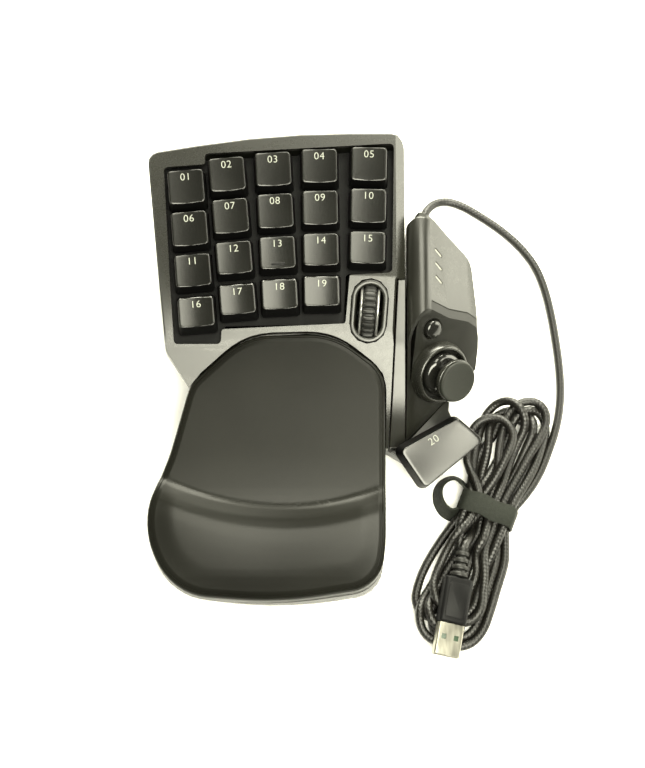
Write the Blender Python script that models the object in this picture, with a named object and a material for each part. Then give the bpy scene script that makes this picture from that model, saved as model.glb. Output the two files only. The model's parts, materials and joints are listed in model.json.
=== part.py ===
"""One-handed gaming keypad with a braided USB lead.

Nineteen keys stand in a fanned block on a sloping deck, above a sliding palm rest. A scroll wheel
sits beside the last row. A thumb module on the right carries a round button, a tilting thumb pad
with a stick, and the wide twentieth key. The lead leaves the back of the thumb module and ends in
a strapped hank, with its plug lying on it.

Lengths are in millimetres until they reach a mesh. X runs to the right, Y away from the user and
Z up. Design coordinates start under the middle of the palm pad's right half; ORIGIN is the middle
of the footprint there, and it becomes the world's origin.
"""

import math

import bmesh
import bpy
from mathutils import Matrix, Vector

MM = 0.001
GAP = 0.3
SHARP = 0.2
ORIGIN = (-3.95, 7.85)

# Heights shared by the housings
BASE_BOTTOM = 2.0
SEAM = 12.0
FLOOR = 2.6
WALL = 2.5

# Deck: the sloping plane of the bezel
DECK_TILT = math.radians(6.5)
DECK_Y = 62.0
DECK_Z = 48.0
DECK_THICK = 3.0

# Keys: each column is (x of row 1, distance up the deck of row 1, lean in degrees, number of rows)
COLUMNS = (
    (-61.2, 23.3, 5.0, 4),
    (-42.9, 29.1, 5.0, 4),
    (-22.2, 31.5, 3.1, 4),
    (-1.4, 33.0, 1.0, 4),
    (20.9, 33.9, -1.2, 3),
)
ROW_PITCH = 19.05
# Each row is (height of the cap's top over the deck, its backward tilt in degrees, top depth)
ROWS = ((6.4, 3.0, 15.0), (5.2, 1.0, 15.4), (4.4, 0.0, 14.6), (4.0, -2.0, 13.4))
CAP_FOOT = 17.6
CAP_TOP_WIDTH = 15.9
CAP_SKIRT = -3.6
CAP_CEILING = -0.8
CAP_WALL = 1.7
STEM = 4.0
STEM_END = -8.0
SWITCH = 14.0
SWITCH_TOP = -5.0
PLATE_TOP = -8.0
PLATE_THICK = 1.5
BOARD_TOP = -13.4
BOARD_THICK = 1.6

# Outlines as corners (x, y, radius), counter-clockwise. RIM is the case at the deck and FOOT the
# same corners at the seam, where the outer walls have drawn in.
RIM = (
    (-59.8, -2.4, 1.0), (-30.0, -2.4, 0.5), (16.0, -26.6, 0.5), (29.7, -26.6, 0.4),
    (33.3, 44.9, 0.8), (37.2, 44.9, 0.8), (37.2, 111.9, 6.0), (-22.0, 111.9, 430.0),
    (-79.5, 102.5, 5.0), (-70.3, 13.3, 3.0),
)
FOOT = (
    (-53.0, -2.4, 1.0), (-30.0, -2.4, 0.5), (16.0, -26.6, 0.5), (29.7, -26.6, 0.4),
    (33.3, 44.9, 0.8), (35.8, 44.9, 0.8), (34.5, 102.5, 6.0), (-22.0, 102.5, 430.0),
    (-69.5, 94.5, 5.0), (-61.5, 10.0, 3.0),
)
WELL = (
    (-66.6, 16.2, 1.8), (-45.6, 16.2, 1.8), (-45.2, 22.7, 1.2), (10.3, 25.2, 1.2),
    (12.2, 46.3, 0.8), (31.3, 47.4, 2.0), (32.5, 107.0, 2.0), (-53.3, 102.2, 1.5),
    (-53.2, 97.3, 1.0), (-71.9, 95.8, 1.8),
)
PLATE = (
    (-68.0, 15.0, 1.0), (-44.6, 15.0, 1.0), (-44.6, 24.4, 1.0), (9.4, 25.4, 1.0),
    (10.6, 48.3, 1.0), (33.0, 49.0, 1.0), (33.5, 106.0, 1.0), (-54.6, 101.2, 1.0),
    (-54.6, 98.6, 1.0), (-73.0, 97.0, 1.0),
)
PAD = (
    (28.1, 4.0, 16.0), (5.0, 21.5, 34.0), (-35.0, 20.5, 34.0), (-59.3, -1.5, 16.0),
    (-66.5, -32.0, 60.0), (-80.0, -63.0, 17.0), (-66.0, -92.0, 26.0), (-19.0, -98.0, 180.0),
    (26.0, -91.0, 14.0), (28.1, -71.0, 60.0),
)
PAD_MIDDLE = (-22.0, -38.0)
# The pad's crown as (scale of the outline, drop below the pad's top)
PAD_CROWN = ((0.985, 1.6), (0.95, 0.3), (0.85, 0.0), (0.6, 0.0), (0.3, 0.0), (0.05, 0.0))
# Side view of the front slope, as (y, z) from the deck down to the front of the right arm
SLOPE = ((22.0, 43.44), (14.0, 41.4), (4.0, 37.6), (-6.0, 32.6), (-16.0, 25.4), (-28.0, 15.2))

# Scroll wheel
WHEEL_AT = (20.9, 30.6)
WHEEL_LEAN = math.radians(-4.5)
WHEEL_DEPTH = 9.0
WHEEL_RADIUS = 13.2
TYRE_HALF = 2.8
RIM_OUT = 4.6
RING_OUTER = (16.4, 28.2)
RING_INNER = (11.6, 23.4)

# Thumb module: plan corners, cross-section (x, z), and the control panel that cuts its front off
THUMB = (
    (38.0, -23.0, 0.5), (71.2, 12.6, 1.5), (71.0, 30.0, 60.0), (68.0, 58.5, 9.0),
    (50.6, 72.8, 3.0), (43.5, 76.4, 2.5), (37.6, 69.5, 3.0),
)
THUMB_SECTION = (
    (37.9, SEAM + GAP), (37.9, 22.0), (42.0, 45.6), (43.6, 47.5), (47.0, 47.8), (48.6, 46.6),
    (57.0, 38.5), (66.0, 31.5), (70.2, 27.0), (71.4, 22.0), (70.0, SEAM + GAP),
)
THUMB_FOOT = (
    (29.0, -26.2, 0.5), (38.5, -32.0, 1.0), (45.5, -40.5, 1.0), (64.0, -26.0, 1.0),
    (57.0, -8.0, 1.0), (57.5, 0.5, 2.0), (67.0, 14.0, 2.0), (66.5, 50.0, 8.0),
    (50.0, 67.5, 3.0), (43.5, 71.0, 2.5), (38.6, 66.0, 2.5), (38.6, 44.3, 0.5), (30.0, 44.3, 0.5),
)
PANEL_AT = (51.9, 7.1, 26.1)
PANEL_NORMAL = (0.545, -0.515, 0.662)
PANEL_THICK = 2.0
BUTTON_AT = (9.6, 18.9)
BUTTON_RADIUS = 3.9
PAD_RING = 14.5
PAD_HOLE = 8.0
PAD_PIVOT = -4.5
STICK_RADIUS = 9.8
THUMB_BOARD = ((-6.0, -8.0), (13.0, -8.0), (13.5, 20.4), (9.1, 20.4), (-3.2, 6.0))
LIGHT_AT = (52.4, 51.5, 42.9)
LIGHT_PITCH = 6.4

# Twentieth key: a wide cap, turned and tipped towards the thumb
KEY20_AT = (53.5, -30.1, 29.0)
KEY20_TURN = math.radians(34.6)
KEY20_TIP = math.radians(18.0)
KEY20_TOP = ((-15.8, -10.3, 2.2), (18.3, -7.2, 2.2), (14.0, 7.4, 2.2), (-16.3, 10.2, 2.2))
KEY20_HEIGHT = 8.5

# Palm rest: the tray's top plane, and the pad's own heights along Y
TRAY_FRONT = (-97.0, 7.5)
TRAY_REAR = (20.0, 27.0)
PLINTH = (-42.0, -55.0, 20.0, 30.0)
PLINTH_TOP = 8.0

# USB lead
CORD = 3.9
CORD_REST = 2.05
GLAND_AT = (48.5, 71.5, 7.2)
GLAND_LENGTH = 14.0
CORD_ROUTE = (
    (48.5, 86.3, 7.2), (48.7, 90.4, 6.9), (51.0, 94.4, 5.4), (55.2, 97.6, 3.4),
    (60.8, 98.4, CORD_REST), (67.4, 95.9, CORD_REST), (76.1, 90.5, CORD_REST),
    (86.4, 82.8, CORD_REST), (95.0, 74.0, CORD_REST), (101.0, 65.0, CORD_REST),
    (104.9, 54.0, CORD_REST), (107.4, 42.0, CORD_REST), (109.2, 28.7, CORD_REST),
    (110.4, 15.5, CORD_REST), (110.5, 3.0, CORD_REST), (108.9, -9.0, CORD_REST),
    (105.8, -19.8, CORD_REST), (101.4, -30.2, CORD_REST), (97.0, -38.4, CORD_REST),
)
# The hank lies along a line from its top end; its outline is (along, across, radius)
HANK_TOP = (96.1, 1.9)
HANK_TURN = math.atan2(-0.934, -0.358)
HANK = (
    (-1.5, -12.0, 8.0), (9.0, -17.5, 12.0), (38.0, -17.5, 16.0), (50.0, -12.5, 8.0),
    (66.0, -12.5, 8.0), (82.0, -22.0, 12.0), (112.0, -20.0, 14.0), (127.5, -8.0, 10.0),
    (127.5, 13.0, 12.0), (105.0, 16.0, 20.0), (68.0, 12.5, 10.0), (50.0, 12.5, 10.0),
    (-1.5, 13.6, 12.0),
)
HANK_HEIGHT = 12.0
HANK_LOW = 7.0
TIE_AT = 58.5
TIE_REACH = 12.5
TIE_WIDTH = 9.5
TIE_THICK = 1.2
# The tie's loose end, curled into a loop beside the hank
TIE_TAIL = (
    (54.8, -13.6), (51.6, -18.0), (52.8, -22.6), (57.6, -24.8), (62.8, -22.6), (64.8, -18.4),
    (62.4, -13.6),
)

# Plug: its axis runs from the ribbed relief to the metal shell
PLUG_AT = (60.6, -85.3, 12.8)
PLUG_TURN = math.radians(-10.5)
PLUG_ROLL = math.radians(16.0)
PLUG_BODY = (13.0, 20.6, 7.6)
PLUG_SHELL = (12.0, 14.2, 4.5)
RELIEF_LENGTH = 14.0

# Screws (x, y, rib end x, rib end y) and rubber feet
SCREWS = ((-58.5, 60.0, -65.6, 60.0), (0.0, 95.5, 0.0, 101.8), (59.5, 40.0, 69.5, 40.0))
BASE_FEET = ((-52.0, 84.0), (22.0, 90.0), (54.0, 16.0))
TRAY_FEET = ((-56.0, -72.0), (12.0, -80.0))
FOOT_RADIUS = 5.0


def deck_height(y):
    return DECK_Z + (y - DECK_Y) * math.tan(DECK_TILT)


def along_deck(y):
    return (y - DECK_Y) / math.cos(DECK_TILT)


def rounded(corners, steps=3):
    """Points of a closed outline whose corners (x, y, radius) are filleted."""
    points = []
    for index, (x, y, radius) in enumerate(corners):
        corner = Vector((x, y))
        before = Vector(corners[index - 1][:2]) - corner
        after = Vector(corners[(index + 1) % len(corners)][:2]) - corner
        before.normalize()
        after.normalize()
        half = before.angle(after) / 2
        middle = (before + after).normalized()
        centre = corner + middle * (radius / math.sin(half))
        start = corner + before * (radius / math.tan(half)) - centre
        end = corner + after * (radius / math.tan(half)) - centre
        sweep = start.angle_signed(end)
        for step in range(steps + 1):
            turn = -sweep * step / steps
            points.append(centre + Matrix.Rotation(turn, 2) @ start)
    return [(point.x, point.y) for point in points]


def moved(corners, distance):
    """The corners of an outline moved outwards, or inwards when the distance is negative."""
    result = []
    for index, (x, y, radius) in enumerate(corners):
        here = Vector((x, y))
        one = (here - Vector(corners[index - 1][:2])).normalized()
        two = (Vector(corners[(index + 1) % len(corners)][:2]) - here).normalized()
        normal_one = Vector((one.y, -one.x))
        normal_two = Vector((two.y, -two.x))
        shift = (normal_one + normal_two) / (1 + normal_one.dot(normal_two))
        place = here + shift * distance
        change = distance if one.cross(two) > 0 else -distance
        result.append((place.x, place.y, max(radius + change, SHARP)))
    return result


def outline(corners, distance=0.0, steps=3):
    return rounded(moved(corners, distance), steps)


def level(points, height):
    """A ring: the outline at a height, which is a number or a function of x and y."""
    if callable(height):
        return [(x, y, height(x, y)) for x, y in points]
    return [(x, y, height) for x, y in points]


def circle(radius, height, steps, dip=0.0):
    ring = []
    for step in range(steps):
        angle = 2 * math.pi * step / steps
        r = radius - dip * (step % 2)
        ring.append((r * math.cos(angle), r * math.sin(angle), height))
    return ring


def loft(rings, closed=False):
    """A solid through rings of equally many points, capped at both ends or closed on itself."""
    solid = bmesh.new()
    rows = []
    for ring in rings:
        rows.append([solid.verts.new(Vector(point) * MM) for point in ring])
    pairs = list(zip(rows, rows[1:]))
    if closed:
        pairs.append((rows[-1], rows[0]))
    else:
        solid.faces.new(rows[0])
        solid.faces.new(rows[-1])
    for low, high in pairs:
        for index in range(len(low)):
            other = (index + 1) % len(low)
            solid.faces.new((low[index], low[other], high[other], high[index]))
    bmesh.ops.recalc_face_normals(solid, faces=solid.faces)
    return solid


def turned(profile, steps, closed=False):
    """A solid turned about Z from a profile of (radius, height)."""
    return loft([circle(radius, height, steps) for radius, height in profile], closed)


def prism(points, low, high):
    return loft([level(points, low), level(points, high)])


def box(low, high):
    (x0, y0, z0), (x1, y1, z1) = low, high
    return prism([(x0, y0), (x1, y0), (x1, y1), (x0, y1)], z0, z1)


def slab(width, depth):
    """Outline of a rectangle about the origin."""
    x, y = width / 2, depth / 2
    return [(-x, -y), (x, -y), (x, y), (-x, y)]


def slab_corners(width, depth, radius):
    return tuple((x, y, radius) for x, y in slab(width, depth))


def side_profile(points, x0, x1):
    """A solid with a side view of (y, z) points, from x0 to x1."""
    return loft([[(x, y, z) for y, z in points] for x in (x0, x1)])


def empty(name, location, rotation, parent=None):
    """A placing empty; rotation is a 3x3 matrix."""
    holder = bpy.data.objects.new(name, None)
    holder.matrix_local = Matrix.Translation(Vector(location) * MM) @ rotation.to_4x4()
    holder.parent = parent
    bpy.context.scene.collection.objects.link(holder)
    return holder


def facing(normal):
    """Rotation whose Z is the normal and whose X is level."""
    z = Vector(normal).normalized()
    x = Vector((0, 0, 1)).cross(z).normalized()
    return Matrix((x, z.cross(x), z)).transposed()


def piece(name, solid, finish, parent, location=(0, 0, 0), spin=0.0):
    """A named object with its own material; finish is (colour, roughness, metallic)."""
    mesh = solid
    if isinstance(solid, bmesh.types.BMesh):
        mesh = bpy.data.meshes.new(name)
        solid.to_mesh(mesh)
        solid.free()
    thing = bpy.data.objects.new(name, mesh)
    thing.parent = parent
    thing.location = Vector(location) * MM
    thing.rotation_euler = (0, 0, spin)
    bpy.context.scene.collection.objects.link(thing)
    colour, roughness, metallic = finish
    material = bpy.data.materials.new(name)
    material.use_nodes = True
    shader = material.node_tree.nodes["Principled BSDF"]
    shader.inputs["Base Color"].default_value = (*colour, 1)
    shader.inputs["Roughness"].default_value = roughness
    shader.inputs["Metallic"].default_value = metallic
    if mesh.materials:
        thing.material_slots[0].link = "OBJECT"
        thing.material_slots[0].material = material
    else:
        mesh.materials.append(material)
    return thing


def helper(name, solid, parent, location=(0, 0, 0), spin=0.0):
    """A solid used only to cut, keep or join."""
    tool = piece(name, solid, BLACK, parent, location, spin)
    tool.hide_render = True
    tool.display_type = "WIRE"
    return tool


def combine(thing, tool, operation):
    boolean = thing.modifiers.new(tool.name, "BOOLEAN")
    boolean.operation = operation
    boolean.solver = "EXACT"
    boolean.object = tool
    return thing


def smooth(thing, degrees=35.0):
    thing.data.shade_smooth()
    thing.data.set_sharp_from_angle(angle=math.radians(degrees))
    return thing


BLACK = ((0.02, 0.02, 0.02), 0.5, 0.0)
SHELL_PLASTIC = ((0.035, 0.035, 0.03), 0.5, 0.0)
CAP_PLASTIC = ((0.03, 0.03, 0.028), 0.42, 0.0)
INNER_PLASTIC = ((0.012, 0.012, 0.012), 0.7, 0.0)
SOFT_TOUCH = ((0.03, 0.03, 0.028), 0.75, 0.0)
RUBBER = ((0.015, 0.015, 0.015), 0.85, 0.0)
CHROME = ((0.85, 0.85, 0.83), 0.12, 1.0)
STEEL = ((0.6, 0.59, 0.55), 0.3, 1.0)
BOARD = ((0.02, 0.1, 0.04), 0.5, 0.0)
LENS = ((0.75, 0.77, 0.72), 0.3, 0.0)
BRAID = ((0.03, 0.027, 0.025), 0.8, 0.0)
STRAP = ((0.04, 0.045, 0.04), 0.8, 0.0)
TONGUE = ((0.1, 0.45, 0.12), 0.4, 0.0)


def build_frames():
    """Empties that hold the deck, the wheel, the control panel and the twentieth key."""
    identity = Matrix.Identity(3)
    root = empty("keypad", (-ORIGIN[0], -ORIGIN[1], 0), identity)
    tilt = Matrix.Rotation(DECK_TILT, 3, "X")
    deck = empty("deck", (0, DECK_Y, DECK_Z), tilt, root)
    wheel_at = (WHEEL_AT[0], along_deck(WHEEL_AT[1]), -WHEEL_DEPTH)
    wheel = empty("wheel_axis", wheel_at, Matrix.Rotation(WHEEL_LEAN, 3, "Z"), deck)
    panel = empty("panel_plane", PANEL_AT, facing(PANEL_NORMAL), root)
    pivot = empty("pad_pivot", (0, 0, PAD_PIVOT), identity, panel)
    turn = Matrix.Rotation(KEY20_TURN, 3, "Z") @ Matrix.Rotation(KEY20_TIP, 3, "X")
    key20 = empty("key20_axis", KEY20_AT, turn, root)
    palm = empty("palm_slide", (0, 0, 0), identity, root)
    hank = empty("hank_line", (*HANK_TOP, 0), Matrix.Rotation(HANK_TURN, 3, "Z"), root)
    lying = Matrix.Rotation(PLUG_TURN, 3, "Z") @ Matrix.Rotation(PLUG_ROLL, 3, "Y")
    plug = empty("plug_axis", PLUG_AT, lying, root)
    return {
        "root": root, "deck": deck, "wheel": wheel, "panel": panel, "pivot": pivot,
        "key20": key20, "palm": palm, "hank": hank, "plug": plug,
    }


def deck_at(drop):
    """Height function of a plane parallel to the deck, a distance below it."""
    return lambda x, y: deck_height(y) - drop


def case_solid(inset, bottom, top_drop):
    """The case's outer form, or its hollow when inset: narrow at the seam, full at the deck."""
    foot = outline(FOOT, -inset)
    rim = outline(RIM, -inset)
    rings = [level(foot, bottom), level(foot, SEAM + GAP), level(rim, deck_at(9.0 + top_drop))]
    if inset:
        rings.append(level(rim, deck_at(top_drop)))
        return loft(rings)
    rings.append(level(rim, deck_at(0.8)))
    rings.append(level(outline(RIM, -0.8), deck_at(0.0)))
    return loft(rings[1:])


def front_slope(frames):
    """Everything above the case's front slope."""
    (rear_y, rear_z), (front_y, front_z) = SLOPE[0], SLOPE[-1]
    top = 70.0
    fall = (front_z - SLOPE[-2][1]) / (front_y - SLOPE[-2][0])
    beyond = front_y - 12.0
    points = [(rear_y, top), *SLOPE, (beyond, front_z + fall * (beyond - front_y)), (beyond, top)]
    return helper("cut_front_slope", side_profile(points, -95.0, 60.0), frames["root"])


def palm_bay(frames):
    """The palm rest's bay: straight up to the pad's top, then flared."""
    straight = outline(PAD, 0.6, 5)
    rings = [
        level(straight, -1.0), level(straight, 36.5),
        level(outline(PAD, 2.6, 5), 43.2), level(outline(PAD, 3.4, 5), 60.0),
    ]
    return helper("cut_palm_bay", loft(rings), frames["root"])


def stadium(size, distance=0.0, steps=6):
    """Outline with two round ends, moved outwards by a distance."""
    width, length = (side + 2 * distance for side in size)
    straight = length / 2 - width / 2
    points = []
    for end, start in ((1, 0.0), (-1, math.pi)):
        for step in range(steps + 1):
            angle = start + math.pi * step / steps
            x = width / 2 * math.cos(angle)
            points.append((x, end * straight + width / 2 * math.sin(angle)))
    return points


def boss(x, y, rib_x, rib_y):
    """A screw post with a rib that ties it to the side wall."""
    post = helper("post", turned([(3.8, 5.2), (3.8, 26.0)], 10), None, (x, y, 0))
    half = 1.0
    low = (min(x, rib_x) - half * (y != rib_y), min(y, rib_y) - half * (x != rib_x), 14.0)
    high = (max(x, rib_x) + half * (y != rib_y), max(y, rib_y) + half * (x != rib_x), 24.0)
    rib = helper("rib", box(low, high), None)
    bore = helper("bore", turned([(1.8, 4.0), (1.8, 18.0)], 10), None, (x, y, 0))
    return post, rib, bore


def add_boss(thing, number, frames):
    post, rib, bore = boss(*SCREWS[number])
    for tool in (post, rib, bore):
        tool.parent = frames["root"]
    combine(thing, rib, "UNION")
    combine(thing, post, "UNION")
    combine(thing, bore, "DIFFERENCE")


def build_top_case(frames, slope, bay):
    case = piece("top_case", case_solid(0.0, 0.0, 0.0), SHELL_PLASTIC, frames["root"])
    combine(case, slope, "DIFFERENCE")
    chamfer = helper(
        "cut_right_edge",
        side_profile([(-40.0, 0.0), (70.0, 0.0), (70.0, 9.0), (-40.0, 9.0)], 0.0, 12.0),
        frames["deck"], (33.2, 0.0, 0.0),
    )
    chamfer.rotation_euler = (0, math.radians(42), 0)
    combine(case, chamfer, "DIFFERENCE")
    hollow = helper("cut_case_hollow", case_solid(WALL, 4.0, DECK_THICK), frames["root"])
    lowered = helper("keep_slope_wall", palm_wall_solid(), frames["root"])
    combine(hollow, lowered, "DIFFERENCE")
    under = [(y, z - 4.0) for y, z in SLOPE]
    under_points = [(24.0, 70.0), (24.0, deck_height(24.0) - 3.5), *under[1:], (-45.0, 0.0), (-45.0, 70.0)]
    wall = helper("keep_front_wall", side_profile(under_points, -95.0, 60.0), frames["root"])
    combine(hollow, wall, "DIFFERENCE")
    combine(case, hollow, "DIFFERENCE")
    add_boss(case, 0, frames)
    add_boss(case, 1, frames)
    combine(case, bay, "DIFFERENCE")
    well_points = [(x, along_deck(y)) for x, y in rounded(WELL)]
    well = helper("cut_well", prism(well_points, PLATE_TOP, 30.0), frames["deck"])
    combine(case, well, "DIFFERENCE")
    opening = (RING_OUTER[0] + 2 * GAP, RING_OUTER[1] + 2 * GAP)
    hole = helper("cut_wheel_hole", prism(stadium(opening), -6.0, 20.0), frames["wheel"])
    hole.location = Vector((0, 0, WHEEL_DEPTH)) * MM
    combine(case, hole, "DIFFERENCE")
    return smooth(case)


def palm_wall_solid():
    """The bay with its wall's thickness round it."""
    return prism(outline(PAD, 2.8, 5), -1.0, 60.0)


def screw_holes(thing, number, frames):
    x, y = SCREWS[number][:2]
    profile = [(3.5, 0.0), (3.5, 3.4), (1.9, 3.4), (1.9, 6.0)]
    tool = helper("cut_screw", turned(profile, 12), frames["root"], (x, y, 0))
    combine(thing, tool, "DIFFERENCE")


def build_base(frames, bay):
    """Lower shell: the main tray, the thumb module's tray and the plinth under the palm rest."""
    foot = outline(FOOT)
    rings = [level(outline(FOOT, -1.5), BASE_BOTTOM), level(foot, 5.0), level(foot, SEAM)]
    base = piece("base_case", loft(rings), SHELL_PLASTIC, frames["root"])
    combine(base, bay, "DIFFERENCE")
    thumb = outline(THUMB_FOOT)
    narrow = outline(THUMB_FOOT, -0.8)
    rings = [level(narrow, BASE_BOTTOM), level(thumb, 4.0), level(thumb, SEAM)]
    combine(base, helper("join_thumb", loft(rings), frames["root"]), "UNION")
    x0, y0, x1, y1 = PLINTH
    plinth = helper("join_plinth", box((x0, y0, BASE_BOTTOM), (x1, y1, PLINTH_TOP)), frames["root"])
    combine(base, plinth, "UNION")
    main_hollow = prism(outline(FOOT, -WALL), BASE_BOTTOM + FLOOR, 20.0)
    hollow = helper("cut_base_hollow", main_hollow, frames["root"])
    combine(hollow, helper("keep_bay_wall", palm_wall_solid(), frames["root"]), "DIFFERENCE")
    combine(base, hollow, "DIFFERENCE")
    thumb_hollow = prism(outline(THUMB_FOOT, -WALL), BASE_BOTTOM + FLOOR, 20.0)
    combine(base, helper("cut_thumb_hollow", thumb_hollow, frames["root"]), "DIFFERENCE")
    exit_hole = helper("cut_cord_exit", turned([(3.5, -8.0), (3.5, 8.0)], 12), frames["root"])
    exit_hole.location = Vector((GLAND_AT[0], GLAND_AT[1] - 3.0, GLAND_AT[2])) * MM
    exit_hole.rotation_euler = (math.pi / 2, 0, 0)
    combine(base, exit_hole, "DIFFERENCE")
    for number in range(len(SCREWS)):
        screw_holes(base, number, frames)
    return smooth(base)


def column_frames():
    """Every key as (number, row, position on the deck, lean)."""
    number = 0
    for row in range(len(ROWS)):
        for x, v, lean, rows in COLUMNS:
            if row < rows:
                number += 1
                angle = math.radians(lean)
                down = ROW_PITCH * row
                yield number, row, (x + down * math.sin(angle), v - down * math.cos(angle)), angle


def switch_plate_solid():
    points = [(x, along_deck(y)) for x, y in rounded(PLATE, 1)]
    return prism(points, PLATE_TOP - PLATE_THICK, PLATE_TOP)


def build_switches(frames):
    """Plate with a square hole for each switch, and the board that carries the switches."""
    deck = frames["deck"]
    plate = piece("switch_plate", switch_plate_solid(), INNER_PLASTIC, deck)
    inset = [(x, along_deck(y)) for x, y in outline(PLATE, -1.2, 1)]
    slab_solid = prism(inset, BOARD_TOP - BOARD_THICK, BOARD_TOP)
    board = piece("switch_board", slab_solid, BOARD, deck)
    hole = prism(slab(SWITCH + 0.8, SWITCH + 0.8), PLATE_TOP - 4.0, PLATE_TOP + 2.0)
    hole_mesh = bpy.data.meshes.new("cut_switch_hole")
    hole.to_mesh(hole_mesh)
    hole.free()
    housing = loft([
        level(slab(SWITCH, SWITCH), BOARD_TOP - 0.4), level(slab(SWITCH, SWITCH), PLATE_TOP + 0.4),
        level(slab(11.0, 11.0), SWITCH_TOP), level(slab(5.2, 5.2), SWITCH_TOP),
        level(slab(5.2, 5.2), BOARD_TOP + 0.8),
    ])
    housing_mesh = bpy.data.meshes.new("join_switch")
    housing.to_mesh(housing_mesh)
    housing.free()
    for _, _, (x, v), lean in column_frames():
        combine(plate, helper("cut_switch_hole", hole_mesh, deck, (x, v, 0), lean), "DIFFERENCE")
        combine(board, helper("join_switch", housing_mesh, deck, (x, v, 0), lean), "UNION")


def cap_rings(foot_corners, top_corners, heights, tilt, stem_end):
    """Rings of a hollow keycap, from its stem's end out over the skirt to the top face."""
    skirt, ceiling, crown = heights
    foot = outline(foot_corners, 0.0, 1)
    cavity = outline(foot_corners, -CAP_WALL, 1)
    stem = outline(slab_corners(STEM, STEM, 0.6), 0.0, 1)
    top = outline(top_corners, 0.0, 1)
    return [
        level(stem, stem_end), level(stem, ceiling), level(cavity, ceiling), level(cavity, skirt),
        level(foot, skirt), level(foot, skirt + 1.2),
        level(top, lambda x, y: crown + y * tilt),
    ]


def build_keycaps(frames):
    meshes = []
    for crown, tilt, depth in ROWS:
        foot = slab_corners(CAP_FOOT, CAP_FOOT, 1.6)
        top = slab_corners(CAP_TOP_WIDTH, depth, 1.6)
        heights = (CAP_SKIRT, CAP_CEILING, crown)
        rings = cap_rings(foot, top, heights, math.tan(math.radians(tilt)), STEM_END)
        mesh = bpy.data.meshes.new("keycap")
        solid = loft(rings)
        solid.to_mesh(mesh)
        solid.free()
        meshes.append(mesh)
    for number, row, (x, v), lean in column_frames():
        name = f"keycap_{number:02d}"
        piece(name, meshes[row], CAP_PLASTIC, frames["deck"], (x, v, 0), lean)


def build_key20(frames):
    key20 = frames["key20"]
    heights = (-KEY20_HEIGHT, -2.0, 0.0)
    rings = cap_rings(moved(KEY20_TOP, 1.4), KEY20_TOP, heights, 0.0, -9.2)
    piece("keycap_20", loft(rings), CAP_PLASTIC, key20)
    housing = loft([
        level(slab(13.0, 11.0), -14.0), level(slab(13.0, 11.0), -8.0), level(slab(10.0, 9.0), -5.5),
        level(slab(5.2, 5.2), -5.5), level(slab(5.2, 5.2), -12.8),
    ])
    piece("key20_switch", housing, INNER_PLASTIC, key20)


def build_wheel(frames):
    wheel = frames["wheel"]
    side = Matrix.Rotation(math.pi / 2, 3, "Y").to_euler()
    ring_rings = [
        level(stadium(RING_INNER), -1.4), level(stadium(RING_OUTER), -1.4),
        level(stadium(RING_OUTER), 0.3), level(stadium(RING_OUTER, -0.5), 0.6),
        level(stadium(RING_INNER, 0.5), 0.6), level(stadium(RING_INNER), 0.1),
    ]
    piece("wheel_ring", loft(ring_rings, True), SHELL_PLASTIC, wheel, (0, 0, WHEEL_DEPTH))
    ribs = 44
    tyre_rings = [
        circle(10.3, -TYRE_HALF, ribs), circle(12.3, -TYRE_HALF, ribs),
        circle(WHEEL_RADIUS, -TYRE_HALF + 0.8, ribs, 0.8),
        circle(WHEEL_RADIUS, TYRE_HALF - 0.8, ribs, 0.8),
        circle(12.3, TYRE_HALF, ribs), circle(10.3, TYRE_HALF, ribs),
    ]
    tyre = piece("wheel_tyre", loft(tyre_rings, True), RUBBER, wheel)
    tyre.rotation_euler = side
    inner = TYRE_HALF + GAP
    half = [(10.0, inner), (11.9, inner), (12.2, inner + 0.4), (11.7, RIM_OUT), (10.2, RIM_OUT)]
    axle = [(1.5, RIM_OUT + 0.2), (1.5, 8.2)]
    profile = half + axle
    mirrored = [(radius, -height) for radius, height in reversed(profile)]
    core = piece("wheel_core", turned(mirrored + profile, 24), CHROME, wheel)
    core.rotation_euler = side
    smooth(core)
    build_wheel_carrier(wheel)


def build_wheel_carrier(wheel):
    """A bracket under the wheel whose cheeks hold the axle; it clicks down with the wheel."""
    outer, inner = 8.0, 6.2
    low, foot = -16.4, -14.6
    carrier = piece("wheel_carrier", box((-outer, -5, low), (outer, 5, 2.6)), INNER_PLASTIC, wheel)
    gap = helper("cut_carrier_gap", box((-inner, -6, foot), (inner, 6, 6.0)), wheel)
    combine(carrier, gap, "DIFFERENCE")
    bore = helper("cut_axle_bore", turned([(1.85, -12.0), (1.85, 12.0)], 12), wheel)
    bore.rotation_euler = (0, math.pi / 2, 0)
    combine(carrier, bore, "DIFFERENCE")


def build_bridge(frames, slope):
    """Narrow cover between the case and the thumb module, following the case's front slope."""
    points = ((33.9, 44.3), (30.3, -26.2), (37.3, -26.2), (37.3, 44.3))
    cover = piece("bridge_cover", prism(points, SEAM + GAP, 50.0), SHELL_PLASTIC, frames["root"])
    plane = box((-60, -60, -0.6), (60, 60, 20))
    combine(cover, helper("cut_bridge_top", plane, frames["deck"]), "DIFFERENCE")
    combine(cover, slope, "DIFFERENCE")


def thumb_block(name, frames, inset):
    """Outer form of the thumb module, or its hollow when inset."""
    plan = outline(THUMB, -inset)
    corners = [(x, z, SHARP) for x, z in reversed(THUMB_SECTION)]
    section = [(x, z) for x, z, _ in moved(corners, -inset)]
    if inset:
        section = [(x, -5.0 if z < SEAM + 5 else z) for x, z in section]
    block = helper(name, prism(plan, -5.0 if inset else SEAM + GAP, 70.0), frames["root"])
    rings = [[(x, y, z) for x, z in section] for y in (-60.0, 90.0)]
    combine(block, helper(name + "_section", loft(rings), frames["root"]), "INTERSECT")
    return block


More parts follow.
